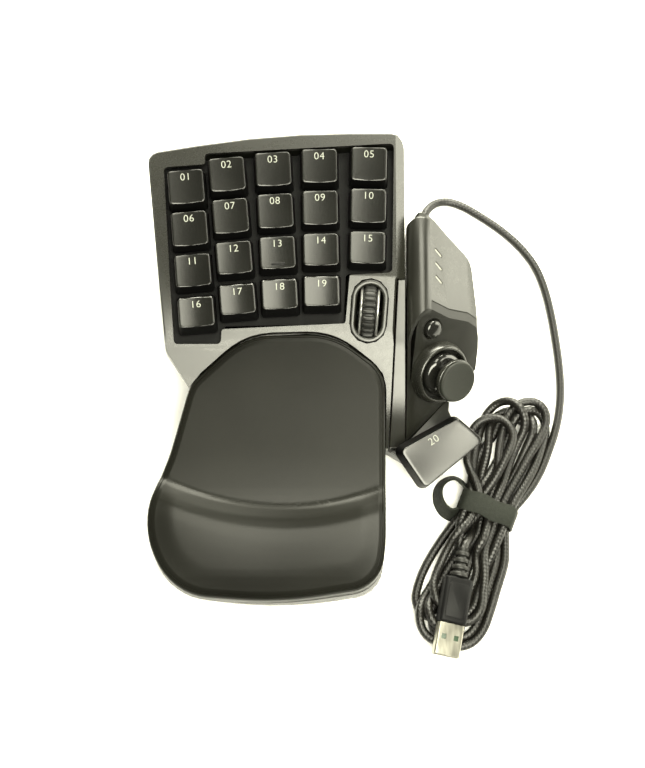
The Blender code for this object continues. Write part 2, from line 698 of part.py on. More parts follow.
def build_thumb_shell(frames):
    panel = frames["panel"]
    shell = thumb_block("thumb_shell", frames, 0.0)
    shell.hide_render = False
    shell.display_type = "TEXTURED"
    shader = shell.data.materials[0].node_tree.nodes["Principled BSDF"]
    shader.inputs["Base Color"].default_value = (*SHELL_PLASTIC[0], 1)
    above = box((-80, -80, -PANEL_THICK - GAP), (80, 80, 80))
    combine(shell, helper("cut_panel_seat", above, panel), "DIFFERENCE")
    combine(shell, thumb_block("cut_thumb_shell", frames, 2.2), "DIFFERENCE")
    add_boss(shell, 2, frames)
    for number in range(3):
        slot = helper("cut_light_slot", box((-2.6, -0.7, -6), (2.6, 0.7, 6)), frames["root"])
        place_light(slot, number)
        combine(shell, slot, "DIFFERENCE")
    smooth(shell)
    full = thumb_block("keep_panel", frames, 0.0)
    plate = piece("thumb_panel", box((-60, -60, -PANEL_THICK), (60, 60, 0)), CAP_PLASTIC, panel)
    combine(plate, full, "INTERSECT")
    hole = helper("cut_pad_hole", turned([(PAD_HOLE, -5), (PAD_HOLE, 5)], 20), panel)
    combine(plate, hole, "DIFFERENCE")
    seat = turned([(BUTTON_RADIUS + 0.5, -5), (BUTTON_RADIUS + 0.5, -0.9), (5.6, 0.4)], 20)
    combine(plate, helper("cut_button_hole", seat, panel, (*BUTTON_AT, 0)), "DIFFERENCE")


def place_light(thing, number):
    """Puts a slanting light slot or its window on the module's outer face."""
    slant = math.radians(-33)
    x, y, z = LIGHT_AT
    face = facing((0.694, 0.0, 0.72)) @ Matrix.Rotation(slant - math.pi / 2, 3, "Z")
    place = Matrix.Translation(Vector((x, y + LIGHT_PITCH * (number - 1), z)) * MM)
    thing.matrix_local = place @ face.to_4x4()


def build_light_guide(frames):
    """Three slanting windows on one bar behind the shell."""
    face = facing((0.694, 0.0, 0.72))
    bar_solid = box((-LIGHT_PITCH - 4, -2.5, -6.0), (LIGHT_PITCH + 4, 2.5, -3.6))
    guide = piece("light_guide", bar_solid, LENS, frames["root"])
    guide.matrix_local = Matrix.Translation(Vector(LIGHT_AT) * MM) @ face.to_4x4()
    for number in range(3):
        window = helper("join_window", box((-2.3, -0.4, -5), (2.3, 0.4, -0.15)), frames["root"])
        place_light(window, number)
        combine(guide, window, "UNION")


def build_thumb_controls(frames):
    panel, pivot = frames["panel"], frames["pivot"]
    ring = turned([
        (11.8, GAP), (PAD_RING, GAP), (PAD_RING - 0.4, 2.2), (13.2, 5.0), (12.6, 5.5), (12.0, 5.2),
    ], 28, True)
    smooth(piece("pad_ring", ring, CAP_PLASTIC, panel))
    gimbal = turned([(4.0, -1.2), (7.2, -1.2), (7.2, 1.0), (4.0, 1.0)], 20, True)
    smooth(piece("pad_gimbal", gimbal, STEEL, pivot))
    lift = -PAD_PIVOT
    pad = turned([
        (2.6, -2.2), (2.6, lift + 1.4), (6.5, lift + 2.4), (10.0, lift + 2.8), (10.0, lift + 4.6),
        (8.6, lift + 6.0), (4.0, lift + 6.6),
    ], 24)
    smooth(piece("thumb_pad", pad, CAP_PLASTIC, pivot))
    stick = turned([
        (3.6, lift + 6.9), (3.4, lift + 9.0), (5.0, lift + 11.6), (9.3, lift + 12.2),
        (STICK_RADIUS, lift + 12.8), (STICK_RADIUS, lift + 14.2), (9.4, lift + 14.5),
    ], 24)
    smooth(piece("thumb_stick", stick, CAP_PLASTIC, pivot))
    cap = turned([
        (8.8, lift + 14.8), (9.0, lift + 15.0), (9.0, lift + 15.9), (8.4, lift + 16.3),
    ], 24)
    smooth(piece("stick_cap", cap, RUBBER, pivot))
    button = turned([
        (1.6, -4.6), (1.6, -3.2), (BUTTON_RADIUS, -3.0), (BUTTON_RADIUS, 0.9), (3.2, 1.6),
    ], 20)
    smooth(piece("thumb_button", button, CAP_PLASTIC, panel, (*BUTTON_AT, 0)))
    board = piece("thumb_board", prism(THUMB_BOARD, -9.6, -8.2), BOARD, panel)
    switch = box((8.2, 16.2, -8.4), (12.0, 20.0, -5.6))
    combine(board, helper("join_tact_switch", switch, panel), "UNION")


def build_thumb_floor(frames):
    """Cover in front of the control panel, under the twentieth key."""
    corners = (
        (30.3, -26.8, 0.3), (38.2, -32.2, 0.8), (45.5, -41.0, 0.8), (64.6, -26.2, 0.8),
        (57.6, -8.0, 0.8), (58.2, -1.6, 0.8), (38.2, -23.5, 0.3), (37.7, -26.7, 0.3),
    )
    solid = prism(rounded(corners, 1), SEAM + GAP, 14.0)
    cover = piece("thumb_floor", solid, SHELL_PLASTIC, frames["root"])
    seat = helper("cut_key20_seat", box((-7.0, -6.2, -20), (7.0, 6.6, -3)), frames["key20"])
    combine(cover, seat, "DIFFERENCE")


def tray_height(y):
    (y0, z0), (y1, z1) = TRAY_FRONT, TRAY_REAR
    return z0 + (y - y0) * (z1 - z0) / (y1 - y0)


def pad_height(y):
    """Top of the palm pad: high at the back, a soft hump across, and a low front edge."""
    knots = (
        (-104.0, 12.0), (-92.0, 19.5), (-80.0, 25.5), (-66.0, 30.0), (-54.0, 32.5), (-46.0, 31.0),
        (-30.0, 32.0), (0.0, 35.0), (24.0, 36.5),
    )
    for (y0, z0), (y1, z1) in zip(knots, knots[1:]):
        if y <= y1:
            return z0 + (y - y0) * (z1 - z0) / (y1 - y0)
    return knots[-1][1]


def build_palm_rest(frames):
    palm = frames["palm"]
    edge = outline(PAD, 0.0, 5)
    tray_top = [(x, y, tray_height(y)) for x, y in edge]
    tray_rings = [level(outline(PAD, -1.5, 5), BASE_BOTTOM), level(edge, 4.5), tray_top]
    tray = piece("palm_tray", loft(tray_rings), SHELL_PLASTIC, palm)
    inside = outline(PAD, -WALL, 5)
    ceiling = [(x, y, tray_height(y) - WALL) for x, y in inside]
    hollow = helper("cut_tray_hollow", loft([level(inside, -1.0), ceiling]), palm)
    x0, y0, x1, y1 = PLINTH
    mouth = box((x0 - 0.6, -6.0, -1.0), (x1 + 0.6, y1, PLINTH_TOP + 0.8))
    combine(tray, hollow, "DIFFERENCE")
    combine(tray, helper("cut_tray_mouth", mouth, palm), "DIFFERENCE")
    for x, y in TRAY_FEET:
        seat = turned([(6.5, BASE_BOTTOM), (6.5, tray_height(y) - 1.0)], 12)
        combine(tray, helper("join_foot_seat", seat, palm, (x, y, 0)), "UNION")
    smooth(tray)
    rings = [[(x, y, tray_height(y) + GAP) for x, y in edge]]
    rings.append([(x, y, max(pad_height(y) - 3.0, tray_height(y) + 3.0)) for x, y in edge])
    for scale, drop in PAD_CROWN:
        rings.append([(x, y, pad_height(y) - drop) for x, y in shrunk(edge, scale)])
    smooth(piece("palm_pad", loft(rings), SOFT_TOUCH, palm))
    catch = loft([
        level([(-16, -52), (-6, -52), (-6, -30), (-16, -30)], PLINTH_TOP + GAP),
        level([(-15, -50), (-7, -50), (-7, -32), (-15, -32)], PLINTH_TOP + 1.8),
    ])
    piece("palm_catch", catch, STEEL, frames["root"])


def shrunk(edge, scale):
    """The outline scaled towards the pad's middle."""
    middle_x, middle_y = PAD_MIDDLE
    return [
        (middle_x + (x - middle_x) * scale, middle_y + (y - middle_y) * scale) for x, y in edge
    ]


def build_fasteners(frames):
    profile = [(3.1, 1.9), (3.1, 3.0), (1.45, 3.1), (1.45, 15.0)]
    for number, (x, y, _, _) in enumerate(SCREWS, 1):
        screw = piece(f"case_screw_{number}", turned(profile, 12), STEEL, frames["root"], (x, y, 0))
        smooth(screw)
    rubber = [(FOOT_RADIUS - 0.4, 0.0), (FOOT_RADIUS, 0.4), (FOOT_RADIUS, BASE_BOTTOM - GAP)]
    for number, (x, y) in enumerate(BASE_FEET, 1):
        smooth(piece(f"foot_{number}", turned(rubber, 16), RUBBER, frames["root"], (x, y, 0)))
    for number, (x, y) in enumerate(TRAY_FEET, len(BASE_FEET) + 1):
        smooth(piece(f"foot_{number}", turned(rubber, 16), RUBBER, frames["palm"], (x, y, 0)))


def through(points, spacing):
    """Points at an even spacing on a smooth curve through the route's points."""
    knots = [Vector(point) for point in points]
    knots = [knots[0] * 2 - knots[1]] + knots + [knots[-1] * 2 - knots[-2]]
    fine = []
    for a, b, c, d in zip(knots, knots[1:], knots[2:], knots[3:]):
        for step in range(20):
            t = step / 20
            bend = (2 * b) + (c - a) * t + (2 * a - 5 * b + 4 * c - d) * t ** 2
            fine.append((bend + (3 * b - a - 3 * c + d) * t ** 3) / 2)
    fine.append(knots[-2])
    length = sum((q - p).length for p, q in zip(fine, fine[1:]))
    count = round(length / spacing)
    result, travelled, target = [fine[0]], 0.0, length / count
    for p, q in zip(fine, fine[1:]):
        step = (q - p).length
        while travelled + step >= target and len(result) < count:
            result.append(p.lerp(q, (target - travelled) / step))
            target += length / count
        travelled += step
    return result + [fine[-1]]


def build_cord(frames):
    root = frames["root"]
    gland = turned([
        (3.1, -5.0), (3.1, 0.2), (4.6, 0.3), (4.6, 2.0), (3.6, 2.6), (3.4, 6.0), (2.9, GLAND_LENGTH),
    ], 12)
    holder = piece("cord_gland", gland, RUBBER, root, GLAND_AT)
    holder.rotation_euler = (-math.pi / 2, 0, 0)
    smooth(holder)
    curve = bpy.data.curves.new("cord_lead", "CURVE")
    curve.dimensions = "3D"
    curve.bevel_depth = CORD / 2 * MM
    curve.bevel_resolution = 2
    curve.use_fill_caps = True
    route = through(CORD_ROUTE, 2.6 * CORD)
    spline = curve.splines.new("POLY")
    spline.points.add(len(route) - 1)
    for point, place in zip(spline.points, route):
        point.co = (*(place * MM), 1)
    piece("cord_lead", curve, BRAID, root)
    build_hank(frames["hank"], root)
    build_plug(frames["plug"])


def thickened(points, thickness):
    """An open line moved sideways by a thickness, in reverse order."""
    result = []
    for index, (x, y) in enumerate(points):
        before = Vector(points[max(index - 1, 0)])
        after = Vector(points[min(index + 1, len(points) - 1)])
        along = (after - before).normalized()
        result.append((x + along.y * thickness, y - along.x * thickness))
    return result[::-1]


def build_hank(hank, root):
    """Bundled coil: full height at the tie, and lower where the plug lies on it."""
    solid = piece("cord_hank", prism(rounded(HANK), 0.0, HANK_HEIGHT), BRAID, hank)
    room = box((-60, -60, HANK_LOW), (60, RELIEF_LENGTH + GAP, 30))
    step = helper("cut_hank_step", room, root, (PLUG_AT[0], PLUG_AT[1], 0), PLUG_TURN)
    combine(solid, step, "DIFFERENCE")
    left, right = TIE_REACH + GAP, -TIE_REACH - GAP
    top = HANK_HEIGHT + GAP
    outer = [
        (right - TIE_THICK, 0.0), (right - TIE_THICK, top + TIE_THICK),
        (left + TIE_THICK, top + TIE_THICK), (left + TIE_THICK, 0.0),
        (left, 0.0), (left, top), (right, top), (right, 0.0),
    ]
    low, high = TIE_AT - TIE_WIDTH / 2, TIE_AT + TIE_WIDTH / 2
    tie = piece("cord_tie", side_profile(outer, low, high), STRAP, hank)
    loop = prism(list(TIE_TAIL) + thickened(TIE_TAIL, TIE_THICK), TIE_THICK, TIE_WIDTH)
    combine(tie, helper("join_tie_tail", loop, hank), "UNION")


def build_plug(plug):
    """Plug with its local Y pointing back along the relief, from the body's rear end."""
    width, length, height = PLUG_BODY
    half = height / 2
    corners = slab_corners(width, length, 1.8)
    full, narrow = outline(corners), outline(corners, -1.2)
    rings = [
        level(narrow, -half), level(full, 1.2 - half), level(full, half - 1.2), level(narrow, half),
    ]
    piece("plug_body", loft(rings), RUBBER, plug, (0, -length / 2, 0))
    width, reach, height = PLUG_SHELL
    front = -PLUG_BODY[1] - GAP
    metal = box((-width / 2, front - reach, -height / 2), (width / 2, front, height / 2))
    shell = piece("plug_shell", metal, STEEL, plug)
    wall = 0.4
    low = (-width / 2 + wall, front - reach - 2, -height / 2 + wall)
    high = (width / 2 - wall, front - 1.0, height / 2 - wall)
    combine(shell, helper("cut_plug_mouth", box(low, high), plug), "DIFFERENCE")
    tongue = box((-5.2, front - reach + 1.0, 0.0), (5.2, front - 1.3, 1.5))
    piece("plug_tongue", tongue, TONGUE, plug)
    profile = [(4.0, GAP)]
    for ring in range(4):
        start = 0.8 + ring * 3.2
        size = 4.0 - ring * 0.35
        profile += [(size, start), (size, start + 1.8), (size - 0.8, start + 2.0)]
    profile.append((2.2, RELIEF_LENGTH))
    relief = piece("plug_relief", turned(profile, 12), RUBBER, plug)
    relief.rotation_euler = (-math.pi / 2, 0, 0)


def main():
    for thing in list(bpy.data.objects):
        bpy.data.objects.remove(thing)
    frames = build_frames()
    slope = front_slope(frames)
    bay = palm_bay(frames)
    build_top_case(frames, slope, bay)
    build_base(frames, bay)
    build_switches(frames)
    build_keycaps(frames)
    build_key20(frames)
    build_wheel(frames)
    build_bridge(frames, slope)
    build_thumb_shell(frames)
    build_light_guide(frames)
    build_thumb_controls(frames)
    build_thumb_floor(frames)
    build_palm_rest(frames)
    build_fasteners(frames)
    build_cord(frames)


main()
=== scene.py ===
import json
import math

import bmesh
import bpy
import numpy as np
from mathutils import Matrix, Vector

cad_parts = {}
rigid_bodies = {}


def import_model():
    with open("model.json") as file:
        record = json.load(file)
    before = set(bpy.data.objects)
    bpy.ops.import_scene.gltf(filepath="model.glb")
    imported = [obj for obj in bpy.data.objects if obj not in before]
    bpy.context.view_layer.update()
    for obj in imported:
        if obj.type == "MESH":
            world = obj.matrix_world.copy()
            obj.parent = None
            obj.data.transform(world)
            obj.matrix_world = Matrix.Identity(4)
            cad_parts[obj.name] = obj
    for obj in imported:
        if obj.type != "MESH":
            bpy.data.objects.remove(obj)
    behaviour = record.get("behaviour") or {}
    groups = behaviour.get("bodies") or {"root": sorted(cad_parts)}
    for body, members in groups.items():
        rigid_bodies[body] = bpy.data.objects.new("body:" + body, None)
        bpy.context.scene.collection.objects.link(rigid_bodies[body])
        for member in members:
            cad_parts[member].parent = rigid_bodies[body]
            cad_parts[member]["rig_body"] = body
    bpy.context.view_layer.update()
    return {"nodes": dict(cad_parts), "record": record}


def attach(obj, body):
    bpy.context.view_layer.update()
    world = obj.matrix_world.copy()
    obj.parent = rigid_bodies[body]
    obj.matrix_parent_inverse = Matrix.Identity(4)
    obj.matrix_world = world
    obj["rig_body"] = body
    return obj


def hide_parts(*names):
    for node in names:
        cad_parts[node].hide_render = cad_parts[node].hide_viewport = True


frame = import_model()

# Lengths are in millimetres in each part's own frame, and metres in Blender.
MM = 0.001
ORIGIN = (-3.95, 7.85)
GAP = 0.3

# ----- frames


def turn(degrees, axis):
    return Matrix.Rotation(math.radians(degrees), 4, axis)


def move(x, y, z=0.0):
    return Matrix.Translation((x, y, z))


def facing(normal):
    """Rotation whose Z is the normal and whose X is level."""
    z = Vector(normal).normalized()
    x = Vector((0, 0, 1)).cross(z).normalized()
    return Matrix((x, z.cross(x), z)).transposed().to_4x4()


DECK_TILT = 6.5
DECK_Y, DECK_Z = 62.0, 48.0
ROOT = move(-ORIGIN[0], -ORIGIN[1])
DECK = ROOT @ move(0, DECK_Y, DECK_Z) @ turn(DECK_TILT, "X")
PANEL_AT = (51.9, 7.1, 26.1)
PANEL_NORMAL = (0.545, -0.515, 0.662)
PANEL = ROOT @ move(*PANEL_AT) @ facing(PANEL_NORMAL)
KEY20 = ROOT @ move(53.5, -30.1, 29.0) @ turn(34.6, "Z") @ turn(18.0, "X")
HANK = ROOT @ move(96.1, 1.9) @ Matrix.Rotation(math.atan2(-0.934, -0.358), 4, "Z")
PLUG = ROOT @ move(60.6, -85.3, 12.8) @ turn(-10.5, "Z") @ turn(16.0, "Y")


def along_deck(y):
    """Distance along the tilted deck to a place with this y."""
    return (y - DECK_Y) / math.cos(math.radians(DECK_TILT))


WHEEL_X, WHEEL_Y = 20.9, 30.6
WHEEL_LEAN, RING_TILT = -4.5, 14.8
WHEEL = DECK @ move(WHEEL_X, along_deck(WHEEL_Y), -9.0) @ turn(WHEEL_LEAN, "Z")

# The case's front slope before it is bent, as (y, height)
SLOPE = ((22.0, 43.44), (14.0, 41.4), (4.0, 37.6), (-6.0, 32.6), (-16.0, 25.4), (-28.0, 15.2))
# How far the front of the case's top bends down, as (y, drop), and the heights between which
# that sets in
FRONT_DROP = ((-16.0, 0.0), (-6.0, 1.9), (4.0, 3.3), (14.0, 3.9), (22.0, 3.6), (46.0, 0.0))
BENT_FROM, BENT_ABOVE = 28.0, 35.0
# The case's lip is drawn in to this gap from the palm pad, where it starts between near and far
BAY_GAP = 0.5
LIP_NEAR, LIP_FAR, LIP_REACH = 1.0, 4.2, 4.4
LIP_ABOVE = 36.6
# The lip stays as it is this near to the wheel's slot
SLOT_HALF, SLOT_MARGIN = 5.9, 9.0


def front_drop(y):
    return float(np.interp(y, *zip(*FRONT_DROP)))


def deck_height(y):
    return DECK_Z + (y - DECK_Y) * math.tan(math.radians(DECK_TILT))


def top_height(y):
    """Height of the case's top before its front is bent: the deck, then the front slope."""
    return deck_height(y) if y > SLOPE[0][0] else float(np.interp(y, *zip(*SLOPE[::-1])))


WHEEL_PLATE = (
    ROOT @ move(WHEEL_X, WHEEL_Y, deck_height(WHEEL_Y) - front_drop(WHEEL_Y))
    @ turn(RING_TILT, "X") @ turn(WHEEL_LEAN, "Z")
)

# ----- outlines

# Points round a turned piece, where nothing else is said
ROUND_STEPS = 96


def rounded(corners, steps=6):
    """Points of a closed outline whose corners (x, y, radius) are filleted."""
    points = []
    for index, (x, y, radius) in enumerate(corners):
        corner = Vector((x, y))
        before = (Vector(corners[index - 1][:2]) - corner).normalized()
        after = (Vector(corners[(index + 1) % len(corners)][:2]) - corner).normalized()
        half = before.angle(after) / 2
        centre = corner + (before + after).normalized() * (radius / math.sin(half))
        start = corner + before * (radius / math.tan(half)) - centre
        end = corner + after * (radius / math.tan(half)) - centre
        sweep = start.angle_signed(end)
        for step in range(steps + 1):
            points.append(centre + Matrix.Rotation(-sweep * step / steps, 2) @ start)
    return [(point.x, point.y) for point in points]


def part_way(one, other, share):
    return tuple(a + (b - a) * share for a, b in zip(one, other))


def between(one, other, share):
    """An outline part of the way from one to another of as many points."""
    return [part_way(a, b, share) for a, b in zip(one, other)]


def scaled(points, share, middle=(0.0, 0.0)):
    return [part_way(middle, point, share) for point in points]


def spread_out(points, spacing):
    """A closed outline with extra points along its long sides."""
    result = []
    for index, here in enumerate(points):
        there = points[(index + 1) % len(points)]
        count = max(1, round(math.dist(here, there) / spacing))
        result += [part_way(here, there, step / count) for step in range(count)]
    return result


def offset(points, distance):
    """A closed counter-clockwise outline moved outwards by a distance."""
    ring = np.array(points, float)
    along = np.roll(ring, -1, axis=0) - np.roll(ring, 1, axis=0)
    along /= np.linalg.norm(along, axis=1, keepdims=True)
    return [tuple(p) for p in ring + np.stack([along[:, 1], -along[:, 0]], axis=1) * distance]


def slab(width, depth, radius, steps=6, sides=1):
    """Outline of a rectangle with rounded corners, its straight sides cut in equal lengths."""
    x, y = width / 2, depth / 2
    corners = [(-x, -y, radius), (x, -y, radius), (x, y, radius), (-x, y, radius)]
    return with_sides(rounded(corners, steps), steps, sides)


def with_sides(points, steps, sides):
    """A filleted outline with each straight side cut in equal lengths."""
    result = []
    for index, here in enumerate(points):
        result.append(here)
        if index % (steps + 1) == steps:
            there = points[(index + 1) % len(points)]
            result += [part_way(here, there, cut / sides) for cut in range(1, sides)]
    return result


def polar(radius, angle):
    return radius * math.cos(angle), radius * math.sin(angle)


def stadium(width, length, distance=0.0, steps=20):
    """Outline with two round ends, moved outwards by a distance."""
    radius = width / 2 + distance
    straight = (length - width) / 2
    points = []
    for end, start in ((1, 0.0), (-1, math.pi)):
        for step in range(steps + 1):
            x, y = polar(radius, start + math.pi * step / steps)
            points.append((x, end * straight + y))
    return points


def level(points, height):
    """A ring: the outline at a height, which is a number or a function of x and y."""
    return [(p[0], p[1], height(p[0], p[1]) if callable(height) else height) for p in points]


def circle(radius, height, steps=ROUND_STEPS):
    return [(*polar(radius, 2 * math.pi * step / steps), height) for step in range(steps)]


# ----- pieces


def configured(thing, **settings):
    for name, value in settings.items():
        setattr(thing, name, value)
    return thing


def added(name, data):
    """A new object in the scene."""
    thing = bpy.data.objects.new(name, data)
    bpy.context.scene.collection.objects.link(thing)
    return thing


def mesh_of(solid, name):
    """A mesh made from a bmesh, which is then freed."""
    mesh = bpy.data.meshes.new(name)
    solid.to_mesh(mesh)
    solid.free()
    return mesh


def dress(mesh, finish):
    """Gives a mesh one finish and smooth shading."""
    mesh.materials.clear()
    mesh.materials.append(finish)
    mesh.polygons.foreach_set("use_smooth", [True] * len(mesh.polygons))


def two_tone(thing, second, axis, limit, towards=False):
    """Gives the faces turned away from an axis, or towards it, a second finish."""
    thing.data.materials.append(second)
    for polygon in thing.data.polygons:
        polygon.material_index = int((polygon.normal.dot(axis) > limit) == towards)


def upward(place):
    return place.to_3x3() @ Vector((0, 0, 1))


def keep(name, mesh, body, finish, slot, *stands_for):
    """An object for a finished mesh, riding on a body."""
    thing = added(name, mesh)
    dress(mesh, finish)
    mesh.set_sharp_from_angle(angle=math.radians(38))
    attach(thing, body)
    if stands_for:
        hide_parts(*stands_for)
    return thing


def rings_mesh(name, parts, place):
    """A mesh of lofted solids, each part of it (rings, closed)."""
    solid = bmesh.new()
    for rings, closed in parts:
        rows = [[solid.verts.new(place @ Vector(point) * MM) for point in ring] for ring in rings]
        pairs = list(zip(rows, rows[1:]))
        if closed:
            pairs.append((rows[-1], rows[0]))
        else:
            solid.faces.new(rows[0])
            solid.faces.new(rows[-1])
        for low, high in pairs:
            for index in range(len(low)):
                other = (index + 1) % len(low)
                solid.faces.new((low[index], low[other], high[other], high[index]))
    bmesh.ops.recalc_face_normals(solid, faces=solid.faces)
    return mesh_of(solid, name)


def lofted(name, rings, place, body, finish, slot, *stands_for, closed=False):
    """A piece with one run of rings."""
    mesh = rings_mesh(name, [(rings, closed)], place)
    return keep(name, mesh, body, finish, slot, *stands_for)


def turned(profile, steps=ROUND_STEPS):
    return [circle(radius, height, steps) for radius, height in profile]


def applied(thing):
    """Turns an object's modifiers into its mesh."""
    graph = bpy.context.evaluated_depsgraph_get()
    mesh = bpy.data.meshes.new_from_object(thing.evaluated_get(graph))
    thing.modifiers.clear()
    thing.data = mesh
    return thing


def bend_front(solid):
    """Bends the front of the case's top faces down, in flat steps."""
    for y, _ in FRONT_DROP:
        bmesh.ops.bisect_plane(
            solid, geom=solid.verts[:] + solid.edges[:] + solid.faces[:], dist=0.001 * MM,
            plane_co=ROOT @ Vector((0, y, 0)) * MM, plane_no=(0, 1, 0),
        )
    for vertex in solid.verts:
        place = ROOT.inverted() @ (vertex.co / MM)
        vertex.co.z -= front_drop(place.y) * smoothed(place.z, BENT_FROM, BENT_ABOVE) * MM


def close_bay(solid):
    """Draws the case's lip in to the palm pad's outline, in the plane of the top."""
    line = np.array(spread_out(rounded(PAD, 8), 0.8))
    out = np.array(offset(line, 1.0)) - line
    for vertex in solid.verts:
        place = ROOT.inverted() @ (vertex.co / MM)
        gaps = np.array((place.x, place.y)) - line
        nearest = int(np.argmin((gaps ** 2).sum(1)))
        beyond = float(gaps[nearest] @ out[nearest])
        past_slot = max(0.0, abs(place.y - WHEEL_Y) - SLOT_HALF)
        if place.z <= LIP_ABOVE or math.hypot(place.x - WHEEL_X, past_slot) < SLOT_MARGIN:
            continue
        if LIP_NEAR < beyond < LIP_FAR and math.hypot(*gaps[nearest]) < LIP_REACH:
            shift = (BAY_GAP - beyond) * Vector(out[nearest])
            rise = top_height(place.y + shift.y) - top_height(place.y)
            vertex.co += Vector((shift.x, shift.y, rise)) * MM


def shape_case(solid):
    close_bay(solid)
    bend_front(solid)


def refined(node, width, finish, reshape=None, even=True):
    """A CAD solid with its edges rounded, standing for the plain one."""
    source = frame["nodes"][node]
    thing = added(node + "_shell", source.data.copy())
    solid = bmesh.new()
    solid.from_mesh(thing.data)
    bmesh.ops.remove_doubles(solid, verts=solid.verts, dist=0.01 * MM)
    bmesh.ops.dissolve_limit(
        solid, angle_limit=math.radians(0.6), verts=solid.verts, edges=solid.edges,
    )
    if reshape:
        reshape(solid)
    solid.to_mesh(thing.data)
    solid.free()
    configured(
        thing.modifiers.new("round_edges", "BEVEL"), width=width * MM, segments=3,
        limit_method="ANGLE", angle_limit=math.radians(30), use_clamp_overlap=True,
        harden_normals=False,
    )
    applied(thing)
    dress(thing.data, finish)
    if even:
        evened = thing.modifiers.new("even_shading", "WEIGHTED_NORMAL")
        configured(evened, keep_sharp=False, weight=60)
    else:
        thing.data.set_sharp_from_angle(angle=math.radians(20))
    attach(thing, source["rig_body"])
    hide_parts(node)
    return thing


# ----- materials


class Graph:
    """A material's nodes, added and linked by short calls."""

    def __init__(self, name):
        self.material = bpy.data.materials.new(name)
        self.material.use_nodes = True
        self.tree = self.material.node_tree
        self.shader = self.tree.nodes["Principled BSDF"]

    def feed(self, target, value):
        if isinstance(value, bpy.types.NodeSocket):
            self.tree.links.new(value, target)
        else:
            target.default_value = value

    def node(self, kind, inputs=None, **settings):
        made = configured(self.tree.nodes.new("ShaderNode" + kind), **settings)
        for name, value in (inputs or {}).items():
            self.feed(made.inputs[name], value)
        return made

    def noise(self, scale, detail=2.0, stretch=None):
        coords = self.node("TexCoord").outputs["Object"]
        if stretch:
            coords = self.node("Mapping", {"Vector": coords, "Scale": stretch}).outputs["Vector"]
        inputs = {"Vector": coords, "Scale": scale, "Detail": detail}
        return self.node("TexNoise", inputs).outputs["Fac"]

    def math(self, operation, first, second=0.0):
        return self.node("Math", {0: first, 1: second}, operation=operation).outputs[0]

    def spread(self, value, low, high, start=0.0, end=1.0):
        """A value mapped from start and end to low and high."""
        limits = {"From Min": start, "From Max": end, "To Min": low, "To Max": high}
        return self.node("MapRange", {"Value": value, **limits}).outputs["Result"]

    def mix(self, share, first, second):
        made = self.node("Mix", {"Factor": share}, data_type="RGBA")
        sockets = {socket.identifier: socket for socket in (*made.inputs, *made.outputs)}
        self.feed(sockets["A_Color"], first)
        self.feed(sockets["B_Color"], second)
        return sockets["Result_Color"]

    def shades(self, value, colour, dark, light, start=0.3, end=0.7):
        """A colour's darker shade where a value is low, and its lighter one where it is high."""
        share = self.spread(value, 0.0, 1.0, start, end)
        return self.mix(share, tint(colour, dark), tint(colour, light))

    def bump(self, height, strength, distance):
        inputs = {"Height": height, "Strength": strength, "Distance": distance * MM}
        self.set(Normal=self.node("Bump", inputs).outputs["Normal"])

    def set(self, **values):
        for name, value in values.items():
            self.feed(self.shader.inputs[name.replace("_", " ")], value)


def tint(colour, factor):
    return (*(min(1.0, c * factor) for c in colour[:3]), 1.0)


def moulded(name, colour, rough, grain, relief, wear=1.6, patch=35.0, gleam=0.5):
    """Moulded plastic or rubber: fine grain, uneven sheen and lighter, smoother edges."""
    graph = Graph(name)
    fine = graph.noise(grain, 3.0)
    broad = graph.noise(patch, 2.0)
    body = graph.shades(broad, colour, 0.82, 1.18)
    edge = graph.spread(graph.node("NewGeometry").outputs["Pointiness"], 0.0, 1.0, 0.51, 0.58)
    edge = graph.math("MULTIPLY", edge, graph.noise(420.0, 2.0))
    graph.set(Base_Color=graph.mix(edge, body, tint(colour, wear)))
    patches = graph.spread(broad, rough - 0.04, rough + 0.04)
    uneven = graph.math("ADD", graph.spread(fine, -0.05, 0.05), patches)
    polish = graph.math("MULTIPLY", edge, 0.08)
    graph.set(Roughness=graph.math("SUBTRACT", uneven, polish))
    graph.bump(fine, relief, 0.05)
    graph.set(Specular_IOR_Level=gleam)
    return graph.material


def brushed(name, colour, rough, stretch, relief):
    """Bright metal with drawn streaks."""
    graph = Graph(name)
    streaks = graph.noise(900.0, 2.0, stretch)
    graph.set(Base_Color=graph.shades(streaks, colour, 0.85, 1.1), Metallic=1.0)
    graph.set(Roughness=graph.spread(streaks, rough - 0.05, rough + 0.08))
    graph.bump(streaks, relief, 0.02)
    return graph.material


def braided(name, dark, light, around, pitch):
    """Braided sleeve in the tube's own coordinates, with flecks of light yarn."""
    graph = Graph(name)
    coords = graph.node("SeparateXYZ")
    graph.feed(coords.inputs[0], graph.node("TexCoord").outputs["UV"])
    turns = graph.math("MULTIPLY", coords.outputs["X"], 2 * math.pi * around)
    run = graph.math("MULTIPLY", coords.outputs["Y"], 2 * math.pi / pitch)
    one = graph.math("SINE", graph.math("ADD", turns, run))
    two = graph.math("SINE", graph.math("SUBTRACT", turns, run))
    weave = graph.math("MULTIPLY", one, two)
    over = graph.math("MAXIMUM", one, two)
    fleck = graph.spread(graph.noise(2600.0, 2.0), 0.0, 1.0, 0.5, 0.7)
    shade = graph.shades(weave, dark, 0.6, 1.5, -0.6, 0.8)
    lit = graph.math("MULTIPLY", fleck, graph.spread(over, 0.0, 1.0, 0.1, 1.0))
    graph.set(Base_Color=graph.mix(lit, shade, tint(light, 1.0)))
    graph.set(Roughness=graph.spread(weave, 0.28, 0.44, -1.0, 1.0))
    graph.bump(graph.math("ADD", over, graph.math("MULTIPLY", weave, 0.4)), 0.45, 0.12)
    graph.set(Specular_IOR_Level=0.45)
    return graph.material


